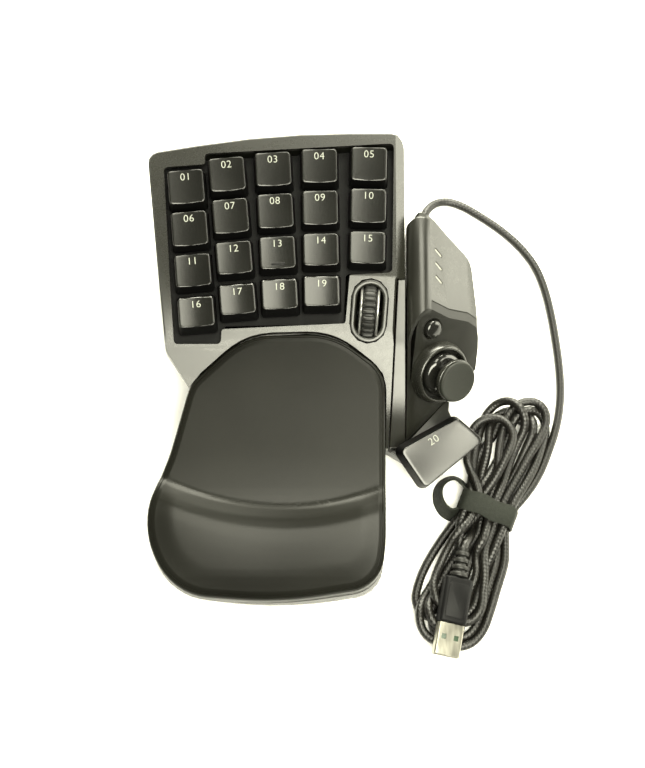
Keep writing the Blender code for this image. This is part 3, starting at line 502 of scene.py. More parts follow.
def woven(name, colour):
    """Looped fabric tape: a close nap with faint ribs along its length."""
    graph = Graph(name)
    nap = graph.noise(2600.0, 3.0)
    ribs = graph.noise(800.0, 1.0)
    graph.set(Base_Color=graph.shades(nap, colour, 0.6, 1.5))
    graph.set(Roughness=graph.spread(ribs, 0.6, 0.85))
    graph.bump(nap, 0.8, 0.15)
    graph.set(Specular_IOR_Level=0.2)
    return graph.material


def printed(name, colour):
    """Light printed legend with a slightly uneven face."""
    graph = Graph(name)
    patchy = graph.noise(1500.0, 2.0)
    graph.set(Base_Color=graph.shades(patchy, colour, 0.88, 1.05, 0.35, 0.65))
    graph.set(Roughness=graph.spread(patchy, 0.4, 0.6))
    graph.bump(patchy, 0.1, 0.02)
    return graph.material


# Very dark parts are also given less reflection, so that they don't show a grey haze
SHELL = moulded("shell_plastic", (0.009, 0.009, 0.007), 0.32, 2600.0, 0.09)
PANEL_GREY = moulded("panel_plastic", (0.007, 0.007, 0.0055), 0.40, 2400.0, 0.2, gleam=0.26)
CAP = moulded("cap_plastic", (0.004, 0.004, 0.003), 0.22, 3000.0, 0.1, wear=2.2)
# The caps' sides: a darker, duller copy of the cap finish, painted shade on the skirts
SHADED_SKIRT = moulded("cap_side_painted_shade", (0.003, 0.003, 0.003), 0.45, 3000.0, 0.2, wear=1.4, gleam=0.12)
DARK = moulded("dark_plastic", (0.003, 0.003, 0.003), 0.5, 1800.0, 0.3, wear=1.3, gleam=0.12)
GLOSS = moulded("gloss_plastic", (0.008, 0.008, 0.007), 0.14, 1800.0, 0.06, wear=1.5)
SATIN = moulded("satin_plastic", (0.010, 0.010, 0.008), 0.28, 2200.0, 0.12, wear=2.0)
SOFT = moulded(
    "soft_touch", (0.006, 0.006, 0.0045), 0.34, 1500.0, 0.25, wear=1.1, patch=18.0, gleam=0.14,
)
STICK = moulded("stick_rubber", (0.010, 0.011, 0.008), 0.6, 1500.0, 0.4, wear=1.5, gleam=0.3)
RUBBER = moulded("black_rubber", (0.007, 0.007, 0.006), 0.5, 1600.0, 0.4, wear=1.5, gleam=0.35)
BOARD = moulded("circuit_board", (0.004, 0.005, 0.004), 0.5, 500.0, 0.1, wear=1.2, gleam=0.12)
LENS = moulded("light_guide", (0.22, 0.22, 0.19), 0.5, 900.0, 0.1, wear=1.05)
TONGUE = moulded("plug_tongue", (0.015, 0.035, 0.015), 0.5, 900.0, 0.1, wear=1.1)
CHROME = brushed("bright_plating", (0.88, 0.88, 0.84), 0.34, (1.0, 1.0, 1.0), 0.05)
STEEL = brushed("plug_steel", (0.33, 0.32, 0.27), 0.34, (1.0, 0.15, 1.0), 0.1)
BRAID = braided("braided_sleeve", (0.0022, 0.002, 0.0016), (0.032, 0.03, 0.022), 8, 1.7)
TAPE = woven("tie_fabric", (0.010, 0.0115, 0.0085))
LEGEND = printed("legend_print", (0.25, 0.26, 0.22))

# ----- camera, lights, floor

VIEW_ELEVATION = 74.0
VIEW_DISTANCE = 0.855
VIEW_TARGET = Vector((0.00395, -0.00785, 0.030))
FOCAL_SHARE = 2.474
LIGHT_COLOUR = (1.0, 0.98, 0.81)
LIGHT_AIM = (0.0, 0.0, 0.03)


def add_camera():
    data = bpy.data.cameras.new("camera")
    data.sensor_width = 36.0
    data.lens = FOCAL_SHARE * data.sensor_width
    camera = added("camera", data)
    rise = math.radians(VIEW_ELEVATION)
    camera.location = VIEW_TARGET + Vector((0, -math.cos(rise), math.sin(rise))) * VIEW_DISTANCE
    camera.rotation_euler = (math.pi / 2 - rise, 0, 0)
    bpy.context.scene.camera = camera


def add_light(name, place, size, radiance):
    data = configured(
        bpy.data.lights.new(name, "AREA"), shape="RECTANGLE", size=size[0], size_y=size[1],
        energy=radiance * math.pi * size[0] * size[1], color=LIGHT_COLOUR,
    )
    light = added(name, data)
    light.location = place
    light.rotation_euler = (Vector(place) - Vector(LIGHT_AIM)).to_track_quat("Z", "Y").to_euler()


def add_studio():
    add_light("back_light", (0.21, 0.44, 0.92), (0.5, 0.42), 12.0)
    add_light("front_light", (0.18, -0.42, 1.02), (0.66, 0.70), 22.0)
    add_light("low_back_light", (0.05, 1.05, 0.56), (1.2, 0.36), 38.0)
    add_light("side_light", (1.3, 0.3, 0.3), (0.9, 0.6), 11.0)
    world = bpy.data.worlds.new("studio")
    bpy.context.scene.world = world
    world.use_nodes = True
    backdrop = world.node_tree.nodes["Background"]
    backdrop.inputs["Color"].default_value = (1.0, 1.0, 0.95, 1.0)
    backdrop.inputs["Strength"].default_value = 0.12
    solid = bmesh.new()
    bmesh.ops.create_grid(solid, x_segments=8, y_segments=8, size=3.0)
    floor = added("floor", mesh_of(solid, "floor"))
    paper = Graph("white_paper")
    patchy = paper.noise(6.0, 3.0)
    tone = paper.mix(patchy, (0.90, 0.90, 0.89, 1), (0.93, 0.93, 0.92, 1))
    paper.set(Base_Color=tone, Roughness=paper.spread(patchy, 0.75, 0.85))
    paper.bump(paper.noise(900.0), 0.1, 0.05)
    floor.data.materials.append(paper.material)
    bpy.context.scene.view_settings.view_transform = "Standard"


# ----- lead

CORD = 3.9
REST = CORD / 2 + 0.1
LEAD_ROUTE = (
    (48.5, 80.0, 7.2), (48.5, 86.3, 7.2), (48.7, 90.4, 6.9), (51.0, 94.4, 5.4),
    (55.2, 97.6, 3.4), (60.8, 98.4, REST), (67.4, 95.9, REST), (76.1, 90.5, REST),
    (86.4, 82.8, REST), (95.0, 74.0, REST), (101.0, 65.0, REST), (104.9, 54.0, REST),
    (107.4, 42.0, REST), (109.2, 28.7, REST), (110.4, 15.5, REST), (110.5, 3.0, REST),
    (108.9, -9.0, REST), (105.8, -19.8, REST), (101.4, -30.2, REST), (97.0, -38.0, REST),
)
# Each turn: lower fold (along, across, half width), place in the tie on the way up, upper fold,
# place in the tie on the way down
TURNS = (
    ((126.0, 3.5, 9.5), -8.0, (9.0, 0.5, 9.5), 9.0),
    ((120.0, 2.0, 9.0), -4.5, (5.0, 0.0, 9.5), 5.5),
    ((116.0, -9.0, 9.5), -8.5, (4.5, 4.0, 8.5), 8.5),
    ((127.0, 0.5, 9.0), -3.5, (1.0, 1.5, 8.5), 4.5),
    ((121.0, 1.0, 9.0), -8.0, (3.8, -6.5, 8.5), 0.5),
    ((112.0, -1.0, 9.0), -6.5, (15.0, -10.0, 8.5), -3.5),
)
TURN_RISE = 4.6
# How far the folds reach along the hank
FOLD = 26.0
TIE_SPAN = (53.8, 63.2)
TIE_AT = 58.5
# The last stretch climbs into the plug's relief
INTO_PLUG = ((66.5, -6.9, 10.4), (73.0, -5.9, 12.3), (80.4, -4.5, 12.8), (88.0, -3.1, 12.8))
PLUG_LINE = (80.4, -4.5, 0.185)
# Room for the strands in the tie, and under the leaning plug
TIE_TOP, TIE_SIDES = 9.9, (-9.9, 10.2)
PLUG_ROOF, PLUG_ROLL, PLUG_HALF = 7.0, 0.28, 8.5
# Points at the path's end that climb into the plug
PLUG_POINTS = 14
# How the strands settle: the steps, the last ones that only smooth and part, the fall and the
# pull back in each step, the smoothing before and at the end, and the push
STEPS, LAST_STEPS = 400, 70
FALL, PULL = 0.06, 0.01
SMOOTHING, LAST_SMOOTHING = 0.15, 0.35
PUSH = 1.3
STRAND_STEP = 2.6
SMOOTH_STEP = 2.0
LEAST_BEND = 2.4 * CORD


def heading(path):
    """Unit direction at each point of a path."""
    along = np.gradient(path, axis=0)
    return along / np.linalg.norm(along, axis=1, keepdims=True)


def gaps_along(points):
    return np.linalg.norm(np.diff(points, axis=0), axis=1)


def spaced(points, spacing):
    """Points evenly spaced along a path."""
    along = np.concatenate([[0.0], np.cumsum(gaps_along(points))])
    marks = np.linspace(0.0, along[-1], int(round(along[-1] / spacing)) + 1)
    return np.stack([np.interp(marks, along, points[:, k]) for k in range(3)], axis=1)


def through(points, spacing):
    """Points evenly spaced on a smooth curve through the route's points."""
    knots = np.array(points, float)
    knots = np.vstack([2 * knots[0] - knots[1], knots, 2 * knots[-1] - knots[-2]])
    fine = []
    for a, b, c, d in zip(knots, knots[1:], knots[2:], knots[3:]):
        gaps = [math.sqrt(max(np.linalg.norm(q - p), 1e-6)) for p, q in ((a, b), (b, c), (c, d))]
        t0, t1, t2, t3 = np.cumsum([0.0, *gaps])
        for t in np.linspace(t1, t2, 24, endpoint=False):
            one = a + (b - a) * (t - t0) / (t1 - t0)
            two = b + (c - b) * (t - t1) / (t2 - t1)
            three = c + (d - c) * (t - t2) / (t3 - t2)
            low = one + (two - one) * (t - t0) / (t2 - t0)
            high = two + (three - two) * (t - t1) / (t3 - t1)
            fine.append(low + (high - low) * (t - t1) / (t2 - t1))
    return spaced(np.array(fine + [knots[-2]]), spacing)


def wound_route(lead):
    """The lead's route and then the hank's turns, each a little higher than the last."""
    z = REST
    points = list(lead) + [(48.1, 12.1, z), (58.5, 10.0, z)]
    for (low, low_y, low_w), up, (top, top_y, top_w), down in TURNS:
        mid = z + TURN_RISE / 2
        points += [
            (low - FOLD, low_y + low_w, z), (low - low_w, low_y + low_w, z),
            (low, low_y, z + TURN_RISE / 4),
            (low - low_w, low_y - low_w, mid), (low - FOLD, low_y - low_w, mid),
            (TIE_AT, up, mid), (top + FOLD, top_y - top_w, mid), (top + top_w, top_y - top_w, mid),
            (top, top_y, z + 0.75 * TURN_RISE),
        ]
        z += TURN_RISE
        points += [
            (top + top_w, top_y + top_w, z), (top + FOLD, top_y + top_w, z), (TIE_AT, down, z),
        ]
    return points[:-1] + list(INTO_PLUG)


def pushed(place, first, second, shift):
    """Moves pairs of points apart, averaging the shifts of a point in several pairs."""
    total = np.zeros_like(place)
    count = np.zeros(len(place))
    for points, way in ((second, 1), (first, -1)):
        np.add.at(total, points, way * shift)
        np.add.at(count, points, 1)
    place += PUSH * total / np.maximum(count, 1)[:, None]


def keep_apart(place, reach, length, only_short):
    """Brings points that many steps apart to a length from each other."""
    for begin in range(2 * reach):
        a = np.arange(begin, len(place) - reach, 2 * reach)
        gap = place[a + reach] - place[a]
        size = np.linalg.norm(gap, axis=1, keepdims=True)
        shift = gap * (1 - length / size) / 2
        if only_short:
            shift = np.where(size < length, shift, 0)
        place[a] += shift
        place[a + reach] -= shift


def keep_bends(place, spacing, radius):
    """Opens any bend tighter than a radius."""
    for reach in (2, 4):
        chord = 2 * radius * math.sin(reach * spacing / radius / 2)
        keep_apart(place, reach, chord, True)


def keep_room(place, highest, pressed):
    """Holds the strands in the tie, under the plug and above the desk."""
    held = (place[:, 0] > TIE_SPAN[0]) & (place[:, 0] < TIE_SPAN[1])
    place[held, 2] = np.minimum(place[held, 2], highest + (TIE_TOP - highest) * pressed)
    place[held, 1] = np.clip(place[held, 1], *TIE_SIDES)
    begin, across, slant = PLUG_LINE
    side = place[:, 1] - across - (place[:, 0] - begin) * slant
    under = (place[:, 0] > begin + 0.6) & (np.abs(side) < PLUG_HALF)
    under[-PLUG_POINTS:] = False
    roof = PLUG_ROOF - PLUG_ROLL * side[under]
    place[under, 2] = np.minimum(place[under, 2], highest + (roof - highest) * pressed)
    place[:, 2] = np.maximum(place[:, 2], REST)


def neighbours(place, apart):
    """Pairs of points that may touch, leaving out those close along the cord."""
    found = []
    for gap in range(apart, len(place)):
        near = np.nonzero(((place[gap:] - place[:-gap]) ** 2).sum(1) < (CORD + 3.0) ** 2)[0]
        found.append(np.stack([near, near + gap]))
    return np.concatenate(found, axis=1)


def settled(path, fixed):
    """Lets the hank's strands fall, press on each other and come to rest."""
    place = path.copy()
    spacing = gaps_along(path).mean()
    apart = math.ceil(2.2 * CORD / spacing)
    free = slice(fixed, len(place) - 4)
    highest = path[:, 2].max() + 1
    for step in range(STEPS):
        ending = step > STEPS - LAST_STEPS
        if not ending:
            place[free, 2] -= FALL
            place[free, :2] += PULL * (path[free, :2] - place[free, :2])
        bend = np.zeros_like(place)
        bend[1:-1] = (place[:-2] + place[2:]) / 2 - place[1:-1]
        place[free] += (LAST_SMOOTHING if ending else SMOOTHING) * bend[free]
        if step % 8 == 0:
            first, second = neighbours(place, apart)
        for _ in range(3):
            keep_apart(place, 1, spacing, False)
            keep_bends(place, spacing, LEAST_BEND)
            gap = place[second] - place[first]
            size = np.linalg.norm(gap, axis=1) + 1e-9
            hit = size < CORD
            shift = gap[hit] * ((CORD - size[hit]) / size[hit] / 2)[:, None]
            pushed(place, first[hit], second[hit], shift)
            keep_room(place, highest, min(1.0, step / (0.6 * STEPS)))
            place[:fixed] = path[:fixed]
            place[-4:] = path[-4:]
    return place


def tube_mesh(name, path, radius, sides):
    """A tube along world points in millimetres, with coordinates round and along it."""
    along = heading(path)
    across = np.cross(along[0], (0.0, 0.0, 1.0))
    travelled = np.concatenate([[0.0], np.cumsum(gaps_along(path))])
    solid = bmesh.new()
    layer = solid.loops.layers.uv.new("UVMap")
    rows = []
    for place, ahead in zip(path, along):
        across -= ahead * across.dot(ahead)
        across /= np.linalg.norm(across)
        other = np.cross(ahead, across)
        row = []
        for side in range(sides):
            angle = 2 * math.pi * side / sides
            point = place + radius * (math.cos(angle) * across + math.sin(angle) * other)
            row.append(solid.verts.new(Vector(point) * MM))
        rows.append(row)
    for index, (low, high) in enumerate(zip(rows, rows[1:])):
        for side in range(sides):
            after = (side + 1) % sides
            face = solid.faces.new((low[side], low[after], high[after], high[side]))
            marks = ((side, index), (side + 1, index), (side + 1, index + 1), (side, index + 1))
            for loop, (u, v) in zip(face.loops, marks):
                loop[layer].uv = (u / sides, travelled[v])
    solid.faces.new(rows[0][::-1])
    solid.faces.new(rows[-1])
    bmesh.ops.recalc_face_normals(solid, faces=solid.faces)
    return mesh_of(solid, name)


def into(frame_matrix, points):
    """World points in millimetres from a part's own frame."""
    turned_points = np.array(points) @ np.array(frame_matrix.to_3x3()).T
    return turned_points + np.array(frame_matrix.translation)


def path_length(points):
    return gaps_along(points).sum()


def build_lead():
    """The lead and hank as one tube, its path and length, and its points in the hank's frame."""
    free_run = into(HANK.inverted() @ ROOT, LEAD_ROUTE)
    path = through(wound_route(free_run), STRAND_STEP)
    strands = settled(path, int(path_length(free_run) / STRAND_STEP) - 4)
    smooth = through(into(HANK, strands)[::2], SMOOTH_STEP)
    smooth[:, 2] = np.maximum(smooth[:, 2], CORD / 2)
    mesh = tube_mesh("usb_lead", smooth, CORD / 2, 12)
    lead = keep("usb_lead", mesh, "case", BRAID, "braid", "cord_lead", "cord_hank")
    return lead, smooth * MM, path_length(smooth) * MM, strands


def hull(points):
    """Convex outline round points, counter-clockwise."""
    ordered = sorted(map(tuple, points))

    def half(sequence):
        chain = []
        for p in sequence:
            while len(chain) > 1:
                (ax, ay), (bx, by) = chain[-2:]
                if (bx - ax) * (p[1] - ay) - (by - ay) * (p[0] - ax) > 0:
                    break
                chain.pop()
            chain.append(p)
        return chain[:-1]

    return half(ordered) + half(ordered[::-1])


# The tie's loose end, seen from above, and its lean from upright
TAIL = (
    (53.2, -10.6), (50.6, -15.0), (49.6, -19.0), (52.0, -22.6), (56.6, -24.4), (61.8, -22.8),
    (65.6, -18.6), (66.2, -14.6), (63.4, -11.0),
)
TAIL_LEAN = 0.35
TAPE_WIDTH, TAPE_THICKNESS = 9.5, 1.1
TAPE_CLEARANCE = CORD / 2 + 0.2


def build_tie(strands):
    """Fabric tape round the strands, with its loose end curled."""
    near = strands[np.abs(strands[:, 0] - TIE_AT) < 6.0]
    angles = np.linspace(0, 2 * math.pi, 16, endpoint=False)
    edges = [
        (p + TAPE_CLEARANCE * math.cos(a), max(z + TAPE_CLEARANCE * math.sin(a), 0.1))
        for _, p, z in near for a in angles
    ]
    around = spread_out(hull(edges), 1.6)
    outer = offset(around, TAPE_THICKNESS)
    low, high = TIE_AT - TAPE_WIDTH / 2, TIE_AT + TAPE_WIDTH / 2

    def ring(points, t):
        return [(t + 0.35 * math.sin(p * 0.5), p, max(z, 0.05)) for p, z in points]

    rim = offset(around, 0.7)
    rings = [
        ring(around, low), ring(rim, low - 0.15), ring(outer, low + 0.4),
        ring(outer, (low + high) / 2), ring(outer, high - 0.4), ring(rim, high + 0.15),
        ring(around, high),
    ]
    tie = lofted("cord_tape", rings, HANK, "case", TAPE, "strap", "cord_tie", closed=True)
    line = through([(x, y, 0.0) for x, y in TAIL], 1.2)[:, :2]
    along = heading(line)
    side = np.stack([-along[:, 1], along[:, 0]], axis=1)
    rows = [[] for _ in line]
    for s, z in ((-0.5, 0.4), (0.5, 0.4), (0.5, 9.6), (-0.5, 9.6)):
        for row, (x, y) in zip(rows, line + side * (s + (z - 5.0) * TAIL_LEAN)):
            row.append((x, y, z))
    tail = lofted("cord_tape_end", rows, HANK, "case", TAPE, "strap")
    return tie, tail


def build_relief():
    """Strain relief: a tapered sleeve with four raised rings."""
    profile = [(3.9, 0.2)]
    for ring in range(4):
        start = 0.6 + ring * 3.2
        size = 4.1 - ring * 0.33
        profile += [
            (size - 1.1, start), (size - 0.15, start + 0.1), (size, start + 0.35),
            (size - 0.05, start + 1.6), (size - 0.25, start + 1.9), (size - 1.1, start + 2.0),
        ]
    profile += [(2.5, 13.6), (2.2, 14.0), (2.0, 14.0)]
    place = PLUG @ turn(-90, "X")
    rings = turned(profile, 40)
    return lofted("plug_sleeve", rings, place, "case", RUBBER, "rubber", "plug_relief")


def build_plug():
    """Overmould with a raised grip face, metal shell with two latch holes, and its tongue."""
    flat = PLUG @ turn(90, "X")
    ends = ((0.0, 11.6, 6.4), (0.5, 12.6, 7.2), (1.2, 13.0, 7.6), (13.0, 13.0, 7.6),
            (19.4, 13.0, 7.6), (20.3, 12.6, 7.2), (20.6, 11.8, 6.6))
    rings = [level(slab(width, height, 2.0), along) for along, width, height in ends]
    body = lofted("plug_overmould", rings, flat, "case", DARK, "rubber", "plug_body")
    side = slab(9.4, 15.6, 1.4)
    grip = [level(side, 3.76), level(side, 4.0), level(slab(9.0, 15.2, 1.2), 4.12)]
    pad = lofted("plug_grip", grip, PLUG @ move(0, -10.6), "case", DARK, "rubber")
    shell = build_plug_shell(flat)
    side = slab(10.4, 1.8, 0.2, 2)
    rings = [level(side, 20.9), level(side, 33.6), level(slab(10.0, 1.4, 0.2, 2), 33.9)]
    place = flat @ move(0, 1.0)
    tongue = lofted("plug_inside", rings, place, "case", TONGUE, "tongue", "plug_tongue")
    return body, pad, shell, tongue


def build_plug_shell(flat):
    """Folded metal sleeve, open in front, with square latch holes."""
    outer = slab(12.0, 4.5, 0.7, 4)
    inner = slab(11.3, 3.8, 0.4, 4)
    begin, end = 20.9, 35.1
    rings = [
        level(inner, begin + 1.0), level(inner, end), level(outer, end - 0.05),
        level(outer, begin), level(slab(11.0, 3.4, 0.4, 4), begin),
    ]
    shell = lofted("plug_sleeve_metal", rings, flat, "case", STEEL, "steel", "plug_shell")
    for side in (-1, 1):
        hole = [level(slab(2.2, 2.4, 0.15, 2), height) for height in (-6.0, 6.0)]
        mesh = rings_mesh("latch_cutter", [(hole, False)], PLUG @ move(side * 2.9, -27.0))
        cutter = added("latch_cutter", mesh)
        cut = shell.modifiers.new("latch_hole", "BOOLEAN")
        configured(cut, object=cutter, solver="EXACT")
        applied(shell)
        bpy.data.objects.remove(cutter)
    return shell


add_camera()
add_studio()
LEAD, LEAD_PATH, LEAD_LENGTH, STRANDS = build_lead()
TIE, TIE_END = build_tie(STRANDS)
RELIEF = build_relief()
PLUG_PARTS = build_plug()

# ----- keys

# Each column is (x and distance up the deck of its first key, lean in degrees, rows)
COLUMNS = (
    (-61.2, 23.3, 5.0, 4), (-42.9, 29.1, 5.0, 4), (-22.2, 31.5, 3.1, 4), (-1.4, 33.0, 1.0, 4),
    (20.9, 33.9, -1.2, 3),
)
ROW_PITCH = 19.05
# Each row is (height of the cap's top over the deck, its backward tilt in degrees, top depth)
ROWS = ((6.4, 4.0, 15.0), (5.2, 0.5, 15.4), (4.4, -3.0, 14.6), (4.0, -7.0, 13.4))
CAP_TOP_WIDTH = 15.9
CAP_FOOT = 17.6
CAP_EDGE = 0.5
CAP_CORNER = 1.6
CAP_WALL = 1.5
SKIRT_FOOT = -3.6
STEM_FOOT = -7.8
CAVITY_DEPTH = 5.0
DISH = 0.5
HOMING_KEY = 13
# How far in front of the key's middle its homing bar lies
HOMING_BAR_AT = 5.2


def cap_parts(foot, top, skirt, crown, face, ceiling, stem_foot):
    """A hollow cap: inside wall, skirt, rounded rim and dished face, with its stem below."""
    inner = offset(foot, -CAP_WALL)
    side_top = crown - CAP_EDGE
    rings = [level(inner, ceiling), level(inner, skirt), level(foot, skirt)]
    for share in (0.12, 0.16, 0.5, 0.86):
        rings.append(level(between(foot, top, share), skirt + (side_top - skirt) * share))
    for step in range(5):
        angle = math.pi / 2 * step / 4
        edge = offset(top, -CAP_EDGE * (1 - math.cos(angle)))
        rise = math.sin(angle)
        rings.append(level(edge, lambda x, y, rise=rise: face(x, y, rise) - CAP_EDGE * (1 - rise)))
    last = offset(top, -CAP_EDGE)
    for share in (0.93, 0.84, 0.72, 0.58, 0.42, 0.24, 0.08):
        rings.append(level(scaled(last, share), face))
    stem = slab(4.0, 4.0, 0.6, 2)
    return [(rings, False), ([level(stem, stem_foot), level(stem, ceiling - 0.1)], False)]


def cap_face(crown, tilt):
    """Height of a key's face: tilted along Y, and dished across X."""
    slope = math.tan(math.radians(tilt))
    half = CAP_TOP_WIDTH / 2 - CAP_EDGE

    def face(x, y, share=1.0):
        return crown + y * slope - DISH * share * max(0.0, 1 - (x / half) ** 2)

    return face


def legend(number, place, face, at, body, size=4.7):
    """The key's number on its face."""
    text = configured(
        bpy.data.curves.new("legend", "FONT"), body=f"{number:02d}", size=size, align_x="CENTER",
        align_y="CENTER", space_character=1.08, resolution_u=4, offset=-0.045, extrude=0.03,
    )
    thing = added("legend", text)
    bpy.context.view_layer.update()
    graph = bpy.context.evaluated_depsgraph_get()
    mesh = bpy.data.meshes.new_from_object(thing.evaluated_get(graph))
    bpy.data.objects.remove(thing)
    for vertex in mesh.vertices:
        x, y = vertex.co.x + at[0], vertex.co.y + at[1]
        vertex.co = place @ Vector((x, y, face(x, y) + vertex.co.z)) * MM
    keep(f"legend_{number:02d}", mesh, body, LEGEND, "cap_plastic")


def build_cap(name, parts, place, body, stands_for):
    """A cap whose sides take a darker, duller copy of its finish: painted shade on the skirts."""
    mesh = rings_mesh(name, parts, place)
    cap = keep(name, mesh, body, CAP, "cap_plastic", stands_for)
    two_tone(cap, SHADED_SKIRT, upward(place), 0.5)


def key_places():
    """Every deck key as (number, row, frame)."""
    number = 0
    for row in range(len(ROWS)):
        for x, v, lean, rows in COLUMNS:
            if row < rows:
                number += 1
                angle = math.radians(lean)
                down = ROW_PITCH * row
                at = (x + down * math.sin(angle), v - down * math.cos(angle))
                yield number, row, DECK @ move(*at) @ turn(lean, "Z")


def build_deck_keys():
    foot = slab(CAP_FOOT, CAP_FOOT, CAP_CORNER, 6, 8)
    for number, row, place in key_places():
        crown, tilt, depth = ROWS[row]
        face = cap_face(crown, tilt)
        body = f"key_{number:02d}"
        top = slab(CAP_TOP_WIDTH, depth, CAP_CORNER, 6, 8)
        parts = cap_parts(foot, top, SKIRT_FOOT, crown, face, crown - CAVITY_DEPTH, STEM_FOOT)
        build_cap(f"cap_{number:02d}", parts, place, body, f"keycap_{number:02d}")
        legend(number, place, face, (0.0, depth / 2 - 3.1), body)
        if number == HOMING_KEY:
            build_homing_bar(face, place, body)


def build_homing_bar(face, place, body):
    side, top = slab(6.2, 0.9, 0.4, 4), slab(5.8, 0.5, 0.2, 4)
    bar = [
        [(x, y, face(x, y - HOMING_BAR_AT) + rise) for x, y in outline]
        for outline, rise in ((side, -0.3), (side, 0.2), (top, 0.32))
    ]
    at = place @ move(0, -HOMING_BAR_AT)
    lofted("homing_bar", bar, at, body, DARK, "cap_plastic")


KEY20_TOP = ((-15.8, -10.3, 2.2), (18.3, -7.2, 2.2), (14.0, 7.4, 2.2), (-16.3, 10.2, 2.2))


def build_key20():
    """The wide key under the thumb: a shallow bowl on a deep skirt."""
    top = with_sides(rounded(KEY20_TOP), 6, 8)

    def face(x, y, share=1.0):
        return -0.35 * share * max(0.0, 1 - (x / 16.0) ** 2) * max(0.0, 1 - (y / 9.5) ** 2)

    parts = cap_parts(offset(top, 1.4), top, -8.5, 0.0, face, -2.0, -9.2)
    build_cap("cap_20", parts, KEY20, "key_20", "keycap_20")
    legend(20, KEY20, face, (-1.0, 5.6), "key_20", 4.8)


# ----- scroll wheel


LUGS, STEPS_PER_LUG = 26, 8
SLOT = (11.6, 23.4)
SLOT_RING = (16.4, 28.2)


def build_wheel():
    """Lugged tyre, two bright rims, dark hub, and the oval ring round the wheel's slot."""
    side = WHEEL @ turn(90, "Y")
    steps = LUGS * STEPS_PER_LUG
    profile = (
        (10.4, -2.8), (11.9, -2.8), (12.7, -2.5), (13.1, -1.9), (13.2, -1.0), (13.2, 0.0),
        (13.2, 1.0), (13.1, 1.9), (12.7, 2.5), (11.9, 2.8), (10.4, 2.8),
    )
    rings = []
    for radius, height in profile:
        ring = []
        for step in range(steps):
            phase = (step % STEPS_PER_LUG) / STEPS_PER_LUG
            dip = 1.15 if phase < 0.3 else 0.35 if phase < 0.42 or phase > 0.86 else 0.0
            size = radius - dip * (radius > 11.5)
            ring.append((*polar(size, 2 * math.pi * step / steps), height))
        rings.append(ring)
    lofted("wheel_tread", rings, side, "wheel", RUBBER, "rubber", "wheel_tyre", closed=True)
    angles = [2 * math.pi * step / 12 for step in range(12)]
    parts = []
    for sign in (-1, 1):
        rim = [(11.2 + 1.2 * math.cos(a), sign * (3.75 + 0.6 * math.sin(a))) for a in angles]
        parts.append((turned(rim), True))
    mesh = rings_mesh("wheel_rims", parts, side)
    keep("wheel_rims", mesh, "wheel", CHROME, "chrome", "wheel_core")
    hub = [
        (1.5, -5.2), (1.5, -4.2), (9.6, -3.9), (10.6, -3.6), (10.6, 3.6), (9.6, 3.9), (1.5, 4.2),
        (1.5, 5.2),
    ]
    lofted("wheel_hub", turned(hub, 48), side, "wheel", DARK, "inner_plastic")
    section = (
        (SLOT, 0.0, -1.4), (SLOT_RING, 0.0, -1.4), (SLOT_RING, 0.0, 0.1), (SLOT_RING, -0.15, 0.45),
        (SLOT_RING, -0.5, 0.6), (SLOT, 1.0, 0.6), (SLOT, 0.5, 0.45), (SLOT, 0.15, 0.1),
        (SLOT, 0.0, -0.4),
    )
    rings = [level(stadium(*oval, out), height) for oval, out, height in section]
    lofted("wheel_bezel", rings, WHEEL_PLATE, "case", SHELL, "shell_plastic", "wheel_ring",
           closed=True)


# ----- thumb controls

BUTTON_AT = (9.6, 18.9)


def build_thumb_controls():
    """The thumb pad with four raised points, its ring and stick, and the round button."""
    collar = [
        (11.8, 0.3), (14.5, 0.3), (14.4, 1.6), (14.1, 2.8), (13.7, 4.2), (13.3, 5.0), (12.9, 5.4),
        (12.5, 5.5), (12.1, 5.35), (11.9, 5.0), (11.8, 3.0),
    ]
    rings = turned(collar)
    lofted("pad_collar", rings, PANEL, "case", SATIN, "cap_plastic", "pad_ring", closed=True)
    profile = (
        (2.6, -6.7), (2.6, 1.4), (6.5, 2.4), (9.9, 2.8), (10.1, 3.4), (10.1, 4.6), (9.8, 5.3),
        (9.1, 5.9), (8.0, 6.25), (6.6, 6.35), (5.2, 6.4), (4.0, 6.6), (3.4, 6.7),
    )
    rings = []
    for radius, height in profile:
        ring = circle(radius, height)
        if 4.5 < radius < 10.0 and height > 5.0:
            lift = math.sin(math.pi * (radius - 4.0) / 6.4)
            ring = [
                (x, y, z + 0.75 * lift * (0.5 + 0.5 * math.cos(4 * math.atan2(y, x))) ** 2)
                for x, y, z in ring
            ]
        rings.append(ring)
    lofted("thumb_disc", rings, PANEL, "thumb_pad", GLOSS, "cap_plastic", "thumb_pad")
    stick = [
        (3.3, 6.75), (3.2, 8.2), (3.6, 10.0), (4.8, 11.3), (7.4, 11.9), (9.2, 12.15), (9.6, 12.4),
        (9.8, 12.9), (9.8, 14.0), (9.72, 14.3), (9.5, 14.5), (9.2, 14.6),
    ]
    rings = turned(stick)
    lofted("stick_post", rings, PANEL, "thumb_pad", SATIN, "cap_plastic", "thumb_stick")
    top = [
        (9.0, 14.75), (9.3, 14.9), (9.4, 15.3), (9.3, 15.8), (9.0, 16.1), (8.6, 16.2),
        (8.0, 16.1), (5.5, 15.85), (2.5, 15.75), (0.4, 15.72),
    ]
    rings = turned(top)
    lofted("stick_pad", rings, PANEL, "thumb_pad", STICK, "rubber", "stick_cap")
    button = [
        (1.6, -4.6), (1.6, -3.2), (4.1, -3.0), (4.15, 0.7), (4.05, 1.05), (3.8, 1.4), (3.3, 1.7),
        (2.3, 1.95), (1.0, 2.08), (0.2, 2.1),
    ]
    rings, place = turned(button, 72), PANEL @ move(*BUTTON_AT)
    lofted("round_button", rings, place, "thumb_button", GLOSS, "cap_plastic", "thumb_button")


